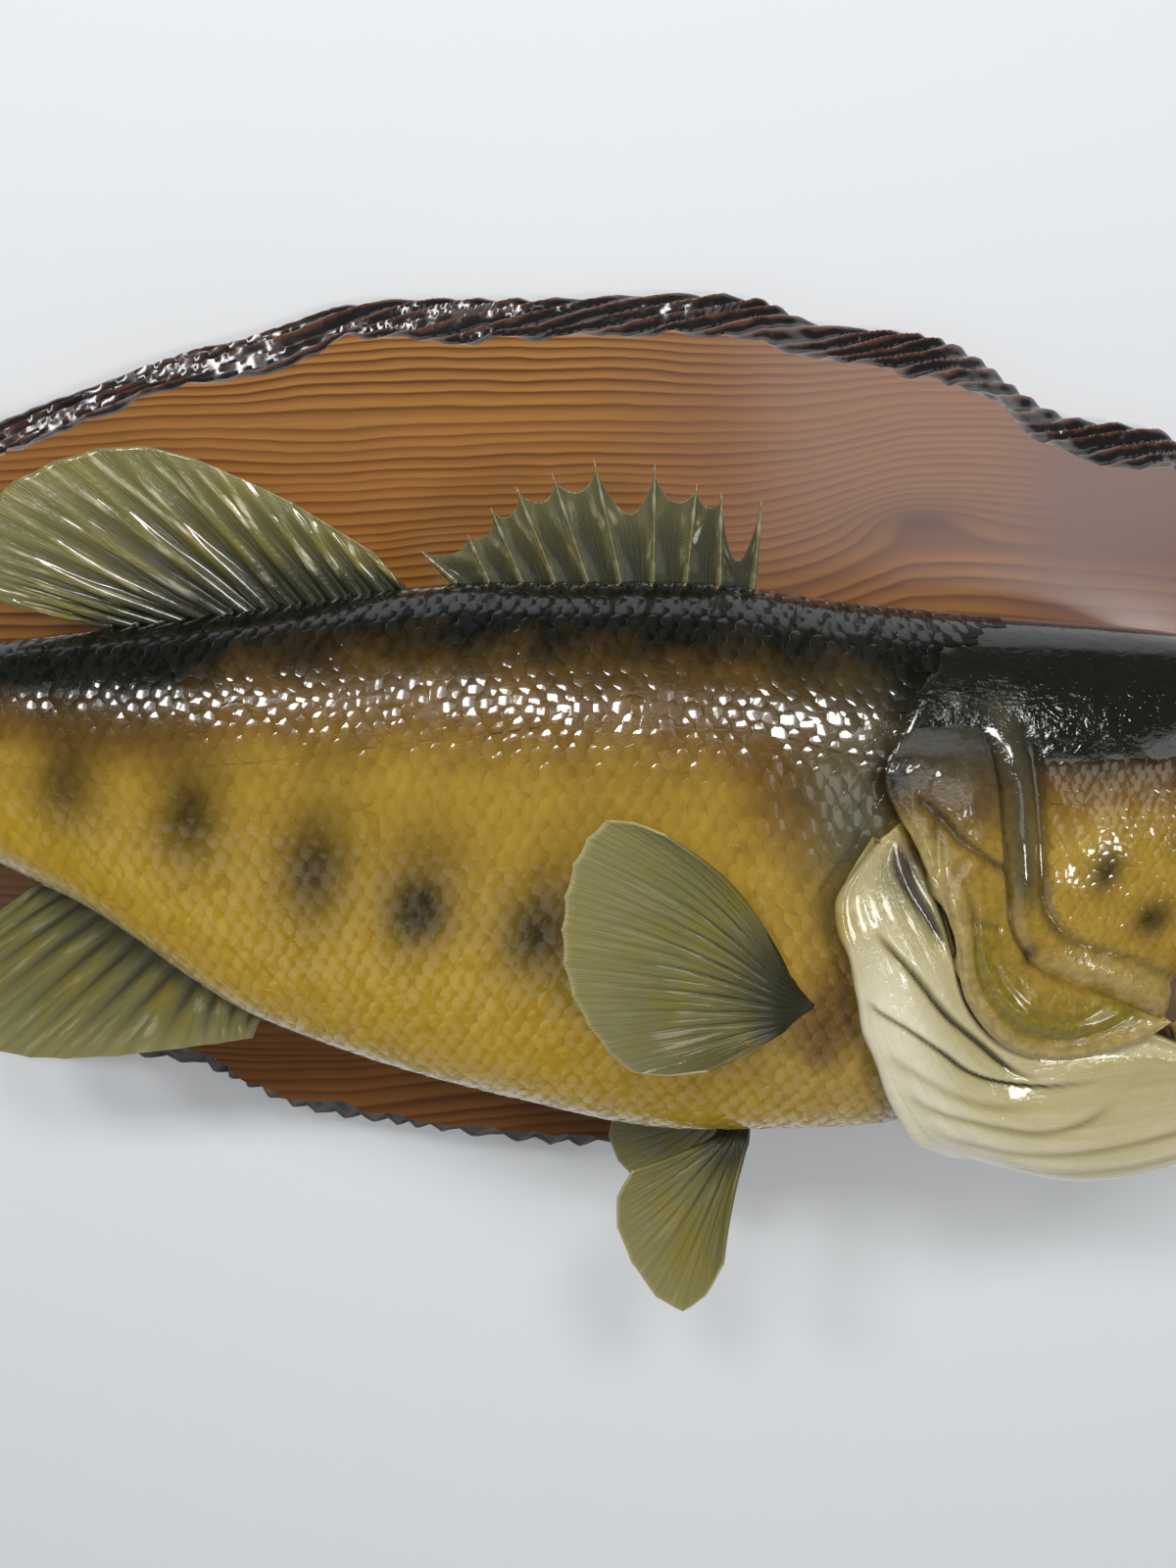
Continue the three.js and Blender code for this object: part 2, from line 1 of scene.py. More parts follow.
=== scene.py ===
"""Dresses the frame of a mounted largemouth bass: skin, scales, fins, eyes, mouth and wood slab.

The fish is described in its own measures, in millimetres: s is the distance from the snout
towards the tail, out is the distance from the middle plane towards the viewer, and z is the
height. place() turns them into the frame, where +X is the snout's end and the wall is Y = 0.
"""

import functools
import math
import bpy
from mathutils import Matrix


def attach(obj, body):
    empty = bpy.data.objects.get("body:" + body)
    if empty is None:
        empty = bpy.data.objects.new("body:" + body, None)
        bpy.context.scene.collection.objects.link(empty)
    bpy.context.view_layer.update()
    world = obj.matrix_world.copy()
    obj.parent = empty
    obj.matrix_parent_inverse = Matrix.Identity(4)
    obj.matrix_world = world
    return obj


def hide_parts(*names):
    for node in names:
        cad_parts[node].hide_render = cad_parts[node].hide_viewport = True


bl_info = {
    "name": "Mounted largemouth bass",
    "version": (1, 0, 0),
    "blender": (4, 5, 0),
    "location": "View3D > Sidebar > Bass mount",
    "description": "Dresses the frame of a largemouth bass mounted on a slab of wood",
    "category": "Add Mesh",
}

import bpy
import numpy as np
from mathutils import Vector

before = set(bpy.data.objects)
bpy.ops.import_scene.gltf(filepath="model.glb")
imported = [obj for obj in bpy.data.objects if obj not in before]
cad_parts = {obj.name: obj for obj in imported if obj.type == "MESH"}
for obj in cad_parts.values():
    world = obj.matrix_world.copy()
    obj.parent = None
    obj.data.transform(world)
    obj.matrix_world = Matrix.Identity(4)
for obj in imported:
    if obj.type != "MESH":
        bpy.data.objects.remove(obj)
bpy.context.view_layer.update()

MM = 0.001

# ---------------------------------------------------------------- the fish's measures

GAP = 0.3
SLAB_THICKNESS = 28
RIM_WIDTH = 17
TOTAL_LENGTH = 575
SNOUT_X = 263
MID_PLANE_Y = -70
HEAD_BEND, HEAD_BEND_START = 30, 290
TAIL_BEND, TAIL_BEND_START = 10, 320
TAIL_BASE = 480
SCALE_END = 486
EYE = {"s": 57, "z": 21, "radius": 11.5, "sunk": 7}
JAW_JOINT_S = 80
JAW_TIP_S = -22
LIP_TIP_Z, LIP_CORNER_Z = -43, -58


def lerp(a, b, t):
    return a + (b - a) * t


def smoothstep(x, start, end):
    t = np.clip((np.asarray(x, float) - start) / (end - start), 0, 1)
    return t * t * (3 - 2 * t)


def through(rows):
    """A smooth curve through rows of (position, value), with no overshoot between them."""
    xs, ys = np.array(rows, float).T
    secant = np.diff(ys) / np.diff(xs)
    before = np.concatenate([secant[:1], secant])
    after = np.concatenate([secant, secant[-1:]])
    safe = np.where(before + after == 0, 1, before + after)
    slope = np.where(before * after <= 0, 0, 2 * before * after / safe)

    def value(x):
        x = np.clip(np.asarray(x, float), xs[0], xs[-1])
        i = np.clip(np.searchsorted(xs, x, side="right") - 1, 0, len(xs) - 2)
        span = xs[i + 1] - xs[i]
        t = (x - xs[i]) / span
        start = (1 + 2 * t) * (1 - t) ** 2 * ys[i] + t * (1 - t) ** 2 * span * slope[i]
        end = t * t * (3 - 2 * t) * ys[i + 1] + t * t * (t - 1) * span * slope[i + 1]
        return start + end

    return value


def along(points, u, closed=False):
    """Points of a round curve through a few points, for u from 0 to 1."""
    points = np.array(points, float)
    if closed:
        wrapped = np.vstack([points[-1:], points, points[:2]])
        count = len(points)
    else:
        first, last = 2 * points[0] - points[1], 2 * points[-1] - points[-2]
        wrapped = np.vstack([first, points, last])
        count = len(points) - 1
    position = np.asarray(u, float) * count
    i = np.clip(np.floor(position).astype(int), 0, count - 1)
    w = (position - i)[..., None]
    p = [wrapped[i + k] for k in range(4)]
    d = [np.maximum(np.sum((p[k + 1] - p[k]) ** 2, -1) ** 0.25, 1e-4)[..., None] for k in range(3)]
    leave = ((p[1] - p[0]) / d[0] - (p[2] - p[0]) / (d[0] + d[1]) + (p[2] - p[1]) / d[1]) * d[1]
    arrive = ((p[2] - p[1]) / d[1] - (p[3] - p[1]) / (d[1] + d[2]) + (p[3] - p[2]) / d[2]) * d[1]
    square = -3 * p[1] + 3 * p[2] - 2 * leave - arrive
    cube = 2 * p[1] - 2 * p[2] + leave + arrive
    return p[1] + w * (leave + w * (square + w * cube))


back_line = through([
    (0, 8), (8, 16), (25, 27), (50, 39.5), (80, 47.3), (128, 51.9), (168, 56.4), (213, 62.8),
    (271, 63.8), (346, 56.7), (403, 50.8), (445, 47.5), (480, 48),
])
keel_line = through([
    (0, -3), (JAW_JOINT_S, -58), (87, -84), (128, -99), (168, -107), (213, -108.5),
    (271, -97.5), (346, -71), (403, -29), (445, -11), (480, -11.5),
])
half_width = through([
    (0, 6), (8, 14), (25, 21), (50, 28), (80, 35), (128, 42), (193, 46.5), (242, 45),
    (291, 39), (346, 31), (403, 22), (445, 15), (480, 6.5),
])
widest_level = through([(0, 2), (50, 2), (80, -8), (128, -18), (213, -20), (346, 0), (445, 18)])
back_sharpness = through([(0, 0.8), (60, 0.75), (130, 1), (190, 1.12)])
belly_sharpness = through([(0, 0.6), (JAW_JOINT_S, 0.5), (110, 0.85)])
jaw_half_width = through([(-22, 6), (-19, 12), (-10, 19), (8, 25), (35, 29.5), (80, 34)])
jaw_depth = through([(-22, 7), (-16, 13), (-5, 20), (10, 27), (35, 36), (60, 42), (80, 44)])
mouth_depth = through([(-22, 0.5), (-16, 3), (0, 14), (20, 22), (80, 27)])


def lip_height(s):
    """The height of the lower lip."""
    return lerp(LIP_TIP_Z, LIP_CORNER_Z, (np.asarray(s, float) - JAW_TIP_S) / (JAW_JOINT_S - JAW_TIP_S))


def bend(s):
    """How far the fish's middle plane swings out from the slab."""
    ahead = np.maximum(0, HEAD_BEND_START - s) / HEAD_BEND_START
    behind = np.maximum(0, s - TAIL_BEND_START) / (TOTAL_LENGTH - TAIL_BEND_START)
    return HEAD_BEND * ahead**2 + TAIL_BEND * behind**2


def place(s, out, z):
    """Frame points in metres. The far side is flat where it rests on the slab."""
    s, out, z = np.broadcast_arrays(np.asarray(s, float), out, z)
    y = np.minimum(MID_PLANE_Y - bend(s) - out, -SLAB_THICKNESS - GAP)
    return np.stack([SNOUT_X - s, y, z], -1) * MM


def fish_measures(points):
    """s, out and z of frame points."""
    x, y, z = (np.asarray(points, float) / MM).T
    s = SNOUT_X - x
    return s, MID_PLANE_Y - bend(s) - y, z


def section(s, turn, grow=0.0):
    """s, out and z on the body's surface. turn is -90 degrees at the keel and 90 on the back."""
    level = widest_level(s)
    upper = np.sin(turn) >= 0
    sharpness = np.where(upper, back_sharpness(s), belly_sharpness(s))
    reach = np.where(upper, back_line(s) - level, level - keel_line(s)) + grow
    side = np.sign(np.cos(turn)) * np.abs(np.cos(turn)) ** sharpness
    return s + 0 * turn, (half_width(s) + grow) * side, level + reach * np.sin(turn)


def half_width_at(s, z):
    """out on the body's surface at a height."""
    level = widest_level(s)
    upper = z >= level
    reach = np.where(upper, back_line(s) - level, level - keel_line(s))
    share = np.minimum(np.abs(z - level) / reach, 1)
    sharpness = np.where(upper, back_sharpness(s), belly_sharpness(s))
    return half_width(s) * (1 - share**2) ** (sharpness / 2)


# ---------------------------------------------------------------- what a user would change


def paint(code):
    """A colour property's default from the way a paint chart writes it."""
    parts = [int(code[i : i + 2], 16) / 255 for i in (1, 3, 5)]
    return tuple(((c + 0.055) / 1.055) ** 2.4 if c > 0.04045 else c / 12.92 for c in parts)


def colour_property(name, description, code):
    return bpy.props.FloatVectorProperty(
        name=name, description=description, default=paint(code), subtype="COLOR", min=0, max=1
    )


def length_property(name, description, default):
    return bpy.props.FloatProperty(
        name=name, description=description, default=default, min=0, subtype="DISTANCE", unit="LENGTH"
    )


class BassSizes(bpy.types.PropertyGroup):
    """Sizes of the skin and its coat of scales."""

    coat_depth: length_property("Coat depth", "How far the skin lies under the solids", 0.0006)
    skin_grain: length_property("Skin grain", "Edge length of the head's mesh", 0.0013)
    scale_pitch: length_property("Scale pitch", "Distance between two scales of a row", 0.0050)
    scale_row: length_property("Scale row", "Distance between two rows of scales", 0.0044)
    scale_lift: length_property("Scale lift", "Height of a scale's free edge", 0.00021)
    cheek_pitch: length_property("Cheek pitch", "Distance between two scales of the cheek", 0.0027)


class BassColours(bpy.types.PropertyGroup):
    """Colours of the painted skin, from the back to the belly, and of the fins and mouth."""

    back: colour_property("Back", "The back and the top of the head", "#0b0e08")
    shoulder: colour_property("Shoulder", "Under the back", "#33260f")
    upper_flank: colour_property("Upper flank", "Above the lateral line", "#694d1c")
    flank: colour_property("Flank", "Along the middle of the side", "#9b7d2e")
    lower_flank: colour_property("Lower flank", "The yellow lower side", "#a7861c")
    belly: colour_property("Belly", "The pale line of the belly", "#aa9f7c")
    # Painted sheen: this grey stands for reflected light on the scales by the gill and on the gill cover's
    # top, and is also the grey of the cheek's rear rib.
    blotch: colour_property("Blotch", "The soft dark blotches", "#33280f")
    steel: colour_property("Shoulder scales", "Grey scales next to the gill", "#4a4836")
    # Painted shade in the head's folds and the gill cover's creases; also the skin's dark speckles.
    groove: colour_property("Groove", "The folds of the head", "#211a0c")
    lobe: colour_property("Gill cover lobe", "Yellow green lobe of the gill cover", "#786b10")
    rim: colour_property("Gill cover rim", "The thin edge of the gill cover", "#a8935a")
    membrane: colour_property("Membrane", "The pale outer part of the gill membrane", "#d7cfb3")
    membrane_middle: colour_property("Membrane middle", "The yellower inner part", "#aca070")
    # Painted shade along the membrane's creases, and the darker olive of its inner top.
    membrane_crease_shade_and_olive: colour_property("Membrane fold", "The folds of the membrane", "#7f764a")
    mouth: colour_property("Mouth", "The lining of the mouth", "#c8a98b")
    throat: colour_property("Throat", "The back of the mouth", "#4a1a12")
    fin: colour_property("Fin web", "The web between the rays", "#6d6837")
    fin_yellow: colour_property("Fin yellow", "Yellow green patches of the fins", "#776a1c")
    fin_pale: colour_property("Fin pale", "The outer half of a fin", "#8d8757")
    fin_hem: colour_property("Fin hem", "The thin edge of a fin", "#b9ab7a")
    # Also the painted shade in the grooves between the rays.
    fin_dark: colour_property("Fin dark", "Rays and roots of the fins", "#1f2112")
    iris: colour_property("Iris", "The eye's ring", "#7a5115")


class SlabColours(bpy.types.PropertyGroup):
    """Colours of the varnished slab."""

    early_wood: colour_property("Early wood", "The light part of a growth ring", "#a6743b")
    late_wood: colour_property("Late wood", "The dark part of a growth ring", "#5e3a1c")
    warm_wood: colour_property("Warm wood", "Broad redder stains", "#90552a")
    # Painted reflection: a pinkish sheen laid over the slab's right side, standing for a reflected window.
    painted_sheen: colour_property("Bloom", "Where the varnish has turned dull", "#745850")
    # Also the painted shadow that darkens the slab towards its bottom.
    knot: colour_property("Knot", "The heart of the knot", "#2d1509")
    # Also the painted shadow on the rim towards the bottom.
    char: colour_property("Char", "The scorched edge", "#0f0c0c")
    rust: colour_property("Rust", "Chipped edge where the scorching is thin", "#4a2a1b")
    bare: colour_property("Bare chip", "Chipped edge without scorching", "#613d28")
    sawn: colour_property("Sawn back", "What makes the slab's back paler", "#b99a6c")


class StageSettings(bpy.types.PropertyGroup):
    """The room and its light."""

    ground: colour_property("Room", "Wall and floor", "#dee0e2")
    key_power: bpy.props.FloatProperty(
        name="Key light", description="Power that the lamps share in", default=12.6, min=0, unit="POWER"
    )


# ---------------------------------------------------------------- mesh helpers


def deselect():
    if bpy.context.object and bpy.context.object.mode != "OBJECT":
        bpy.ops.object.mode_set(mode="OBJECT")
    bpy.ops.object.select_all(action="DESELECT")


def activate(piece):
    deselect()
    piece.select_set(True)
    bpy.context.view_layer.objects.active = piece


def apply_modifier(piece, kind, **settings):
    """Adds a modifier, sets it and applies it."""
    activate(piece)
    modifier = piece.modifiers.new(kind.title(), kind)
    for key, value in settings.items():
        setattr(modifier, key, value)
    bpy.ops.object.modifier_apply(modifier=modifier.name)


def in_edit_mode(piece, *steps, chosen=None):
    """Runs edit-mode operators on a mesh, or on its chosen corners. Each step is (operator, settings)."""
    activate(piece)
    bpy.ops.object.mode_set(mode="EDIT")
    bpy.ops.mesh.select_mode(type="VERT")
    bpy.ops.mesh.select_all(action="SELECT" if chosen is None else "DESELECT")
    if chosen is not None:
        bpy.ops.object.mode_set(mode="OBJECT")
        piece.data.vertices.foreach_set("select", chosen)
        bpy.ops.object.mode_set(mode="EDIT")
    for operator, settings in steps:
        operator(**settings)
    bpy.ops.object.mode_set(mode="OBJECT")
    return piece


def read_vectors(source, key):
    found = np.zeros(len(source) * 3, np.float32)
    source.foreach_get(key, found)
    return found.reshape(-1, 3).astype(float)


def corners(piece):
    return read_vectors(piece.data.vertices, "co")


def normals(piece):
    return read_vectors(piece.data.vertex_normals, "vector")


def move_corners(piece, points):
    piece.data.vertices.foreach_set("co", np.asarray(points, np.float32).ravel())
    piece.data.update()


def sheet(name, points, facing=None):
    """A grid primitive shaped to points, an array of rows by columns by 3 in metres."""
    rows, columns = points.shape[:2]
    deselect()
    bpy.ops.mesh.primitive_grid_add(x_subdivisions=columns - 1, y_subdivisions=rows - 1, size=1)
    piece = bpy.context.object
    piece.name = name
    piece.data.name = name
    move_corners(piece, points.reshape(-1, 3))
    if facing is not None and np.dot(normals(piece).mean(0), facing) < 0:
        in_edit_mode(piece, (bpy.ops.mesh.flip_normals, {}))
    return piece


def rounds(stations, count, start=0.0):
    """A grid of the stations along a body and count turns round it."""
    turns = np.linspace(start, start + math.tau, count + 1)[:-1]
    return np.meshgrid(stations, turns, indexing="ij")


def grid_normals(grid):
    """The unit normal at each point of a grid of rows by columns by 3."""
    facing = np.cross(np.gradient(grid, axis=0), np.gradient(grid, axis=1))
    return facing / np.maximum(np.linalg.norm(facing, axis=-1, keepdims=True), 1e-9)


def hull(name, rings):
    """A closed body from rings of points whose first and last rings are single points."""
    closed = np.concatenate([rings, rings[:, :1]], 1)
    piece = sheet(name, closed)
    in_edit_mode(
        piece,
        (bpy.ops.mesh.remove_doubles, {"threshold": 1e-6}),
        (bpy.ops.mesh.normals_make_consistent, {"inside": False}),
    )
    return piece


def join(pieces, name):
    deselect()
    for piece in pieces:
        piece.select_set(True)
    bpy.context.view_layer.objects.active = pieces[0]
    bpy.ops.object.join()
    joined = bpy.context.object
    joined.name = name
    joined.data.name = name
    return joined


def smooth(piece, degrees=None):
    activate(piece)
    if degrees is None:
        bpy.ops.object.shade_smooth()
    else:
        bpy.ops.object.shade_smooth_by_angle(angle=math.radians(degrees))
    return piece


def mark(piece, **masks):
    """Keeps one number for each vertex, or one for all of them, for a material to read."""
    count = len(piece.data.vertices)
    for name, values in masks.items():
        values = np.broadcast_to(np.asarray(values, np.float32).ravel(), (count,))
        attribute = piece.data.attributes.get(name) or piece.data.attributes.new(name, "FLOAT", "POINT")
        attribute.data.foreach_set("value", np.ascontiguousarray(values))


def thicken(piece, thickness, share=None, offset=-1.0):
    """Gives a sheet its thickness in metres. share is each vertex's part of it."""
    settings = {"thickness": thickness, "offset": offset, "use_rim": True}
    if share is not None:
        group = piece.vertex_groups.new(name="share")
        for i, weight in enumerate(np.asarray(share, float).ravel()):
            group.add([i], float(min(max(weight, 0.02), 1.0)), "REPLACE")
        settings["vertex_group"] = "share"
    apply_modifier(piece, "SOLIDIFY", **settings)
    piece.vertex_groups.clear()
    return piece


def finished(piece, slot_name, *nodes):
    """Hangs a finished piece on the frame, in place of the solids that it stands for."""
    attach(piece, "root")
    if nodes:
        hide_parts(*nodes)
    return piece


# ---------------------------------------------------------------- shapes used by several pieces


def blob(s, z, centre, radius):
    """A soft round spot: 1 at its centre and nearly 0 two radii away."""
    return np.exp(-(((s - centre[0]) / radius[0]) ** 2) - ((z - centre[1]) / radius[1]) ** 2)


def spots(s, z, rows):
    """Soft spots, each given as (centre, radius, strength)."""
    return [strength * blob(s, z, centre, radius) for centre, radius, strength in rows]


def strongest(*masks):
    return functools.reduce(np.maximum, masks)


def ridge(distance, width):
    """A soft ridge along a line: 1 on it and nearly 0 two widths away."""
    return np.exp(-((distance / width) ** 2))


def line_place(s, z, path):
    """Distance to a line drawn on the side of the fish, and the share of the line passed there.

    The distance is positive on the line's left, seen along it.
    """
    path = along([(a, b, 0) for a, b in path], np.linspace(0, 1, 12 * len(path)))[:, :2]
    best = np.full(np.shape(s), 1e9)
    signed = np.zeros(np.shape(s))
    share = np.zeros(np.shape(s))
    for i, ((s0, z0), (s1, z1)) in enumerate(zip(path[:-1], path[1:])):
        length = math.hypot(s1 - s0, z1 - z0)
        ds, dz = (s1 - s0) / length, (z1 - z0) / length
        t = np.clip((s - s0) * ds + (z - z0) * dz, 0, length)
        gap = np.hypot(s - s0 - t * ds, z - z0 - t * dz)
        cross = ds * (z - z0) - dz * (s - s0)
        nearer = gap < best
        best = np.where(nearer, gap, best)
        signed = np.where(nearer, np.where(cross < 0, -gap, gap), signed)
        share = np.where(nearer, (i + t / length) / (len(path) - 1), share)
    return signed, share


def line_distance(s, z, path):
    return line_place(s, z, path)[0]


def wander(x, y, seed):
    """A smooth random wave between about -1 and 1, the same on every run."""
    source = np.random.default_rng(seed)
    total = 0.0
    for octave in range(4):
        turn, phase = source.uniform(0, math.tau), source.uniform(0, math.tau)
        pace = 1.7**octave * source.uniform(0.8, 1.2)
        total += np.sin(pace * (x * math.cos(turn) + y * math.sin(turn)) + phase) / 1.5**octave
    return total / 2.2


PREOPERCLE = [
    (132.5, 27), (130, 13), (129, 0), (128, -13), (126, -26), (119, -36), (110.5, -41),
    (100, -45), (90, -50), (82, -56),
]
TEMPLE = [(167, 8), (165, 15), (160, 26), (155, 34), (148, 41)]
UPPER_LIP = [(76, -40), (56, -26), (34, -11.5), (15, -1.5), (3, 4)]
NOSTRILS = [(34, 25), (27, 21)]
LEDGE_PORES = [(110, -46), (97, -51)]
RIB_GAP, LOW_RIB_GAP = 5.4, 7.0


def head_relief(s, z):
    """How far the skin of the head stands off the smooth body, in millimetres."""
    rib = line_distance(s, z, PREOPERCLE)
    low = smoothstep(z, -18, -36)
    fade = smoothstep(z, 27, 10)
    height = lerp(2.2, 1.5, low) * ridge(rib, lerp(3.1, 4.2, low)) * fade
    beside_rib = ridge(np.abs(rib) - lerp(RIB_GAP, LOW_RIB_GAP, low), 1.3) * (s < 142)
    height -= 1.5 * beside_rib * lerp(1, 0.6, low) * fade
    height += 1.5 * blob(s, z, (105, -5), (16, 21)) * (1 - ridge(rib, 6.0))
    for bump in LEDGE_PORES:
        height = height + 0.7 * blob(s, z, bump, (3.4, 2.6)) - 0.5 * blob(s, z, bump, (1.3, 1.1))
    temple = line_distance(s, z, TEMPLE)
    height = height - 0.9 * ridge(temple, 1.4) + 0.5 * ridge(temple - 3.4, 2.2)
    from_eye = np.hypot(s - EYE["s"], z - EYE["z"])
    height = height + 1.5 * ridge(from_eye - 11.4, 1.5) - 1.0 * ridge(from_eye - 15.5, 2.2)
    height -= 4.0 * smoothstep(from_eye, 9.6, 7.4)
    height -= 0.9 * ridge(line_distance(s, z, UPPER_LIP), 1.3) * (s < 78)
    for nostril in NOSTRILS:
        from_nostril = np.hypot(s - nostril[0], z - nostril[1])
        height = height - 1.8 * ridge(from_nostril, 1.4) + 0.6 * ridge(from_nostril - 2.5, 0.9)
    wrinkles = wander(s / 8, z / 2.4, 3) * blob(s, z, (140, 33), (20, 6))
    dents = wander(s / 3.1, z / 3.6, 9) * smoothstep(s, 60, 84) * smoothstep(z, 24, 12)
    return (height + 0.4 * wrinkles + 0.3 * dents) * smoothstep(s, 178, 160)


def head_fold_shade(s, z):
    """Painted shade in the head's folds, beside and on its rib and along the temple, from 0 to 1."""
    rib = line_distance(s, z, PREOPERCLE)
    low = smoothstep(z, -26, -44)
    beside_rib = ridge(np.abs(rib) - lerp(RIB_GAP, LOW_RIB_GAP, low), 1.7) * (s < 142)
    dark = strongest(
        beside_rib * lerp(0.85, 0.5, low) * smoothstep(z, 26, 16),
        0.2 * ridge(rib, 4.0) * smoothstep(z, -30, -8),
        0.7 * ridge(line_distance(s, z, TEMPLE), 1.6),
    )
    return dark * smoothstep(s, 178, 160)


# ---------------------------------------------------------------- markings

BLOTCHES = [
    ((391, 12), (10.5, 16), 0.7), ((355, 3), (10.5, 16), 0.76), ((320, -12), (11.5, 20), 0.76),
    ((291, -24), (11, 14), 0.9), ((289, -13), (14, 16), 0.45), ((258, -30), (11.5, 16), 0.78),
    ((425, 15), (9, 12), 0.8), ((459, 18), (8, 12), 0.8), ((232, -34), (9, 14), 0.3),
]
CHEEK_BLOTCHES = [
    ((106, -12.5), (4.5, 7), 0.8), ((92, -27), (6, 6), 0.8), ((125, -36), (2.6, 2.8), 0.9),
    ((84, -6), (6, 4), 0.6), ((70, -12), (5, 7), 0.6),
]
# Painted shadow behind the gill, cast by the gill membrane and the pectoral fin.
SHADOW_PATCHES = [((186, 0), (20, 30), 0.1), ((176, -66), (19, 38), 0.5), ((200, -66), (18, 18), 0.18)]
EAR = (163.5, 14.5)
lateral_line = through([
    (150, 14), (172, 18), (183, 21), (199, 25), (246, 27), (265, 25), (299.5, 21.3), (340, 16.5),
    (376, 14.5), (420, 16), (486, 18),
])
cheek_shade = through([
    (-60, 0.5), (-20, 0.58), (0, 0.7), (6, 0.76), (12, 0.84), (17, 0.93), (22, 0.98), (28, 1.0),
])
opercle_shade = through([
    (-60, 0.56), (-30, 0.6), (-10, 0.66), (5, 0.75), (15, 0.86), (24, 0.95), (30, 1.0),
])


def markings(s, out, z):
    """The masks that skin and scales are painted by. All go from 0 to 1 but line, which is in millimetres."""
    back, keel = back_line(s), keel_line(s)
    share = np.clip((z - keel) / np.maximum(back - keel, 1), 0, 1)
    on_head = smoothstep(s, 172, 152)
    head = lerp(cheek_shade(z), opercle_shade(z), smoothstep(s, 124, 136))
    shade = lerp(share, head, on_head)
    # Painted shadow from the gill membrane and pectoral fin, and a darker tone on the upper flank towards the
    # tail.
    dull = sum(spots(s, z, SHADOW_PATCHES)) * (1 - on_head)
    dull += 0.1 * smoothstep(s, 335, 372) * smoothstep(share, 0.45, 0.65)
    blotch = np.zeros(np.shape(s))
    for centre, radius, depth in BLOTCHES + CHEEK_BLOTCHES:
        slant = 0.15 * (z - centre[1])
        blotch = np.maximum(blotch, np.minimum(1.25 * depth * blob(s + slant, z, centre, radius), 1))
    dark = blob(s, z, EAR, (4.5, 7.5))
    on_rib = ridge(line_distance(s, z, PREOPERCLE), 4.4) * (s < 140)
    # steel: grey painted as a sheen of reflected light on the scales behind the gill, and the grey of the
    # rib.
    steel = strongest(
        blob(s, z, (172, 2), (14, 26)) * smoothstep(s, 150, 160), 0.85 * on_rib * smoothstep(z, -30, -14)
    )
    pale = strongest(
        smoothstep(share, 0.062, 0.03) * smoothstep(s, 205, 245),
        smoothstep(np.abs(out), 19, 10) * smoothstep(z, keel + 16, keel + 8),
    )
    off_line = 9.0 * (s < 160)
    # groove holds the painted shade of the head's folds.
    return {
        "shade": shade + dull, "blotch": blotch, "dark": dark, "steel": steel, "pale": pale,
        "groove": head_fold_shade(s, z), "line": z - lateral_line(s) + off_line,
    }


# ---------------------------------------------------------------- material helpers


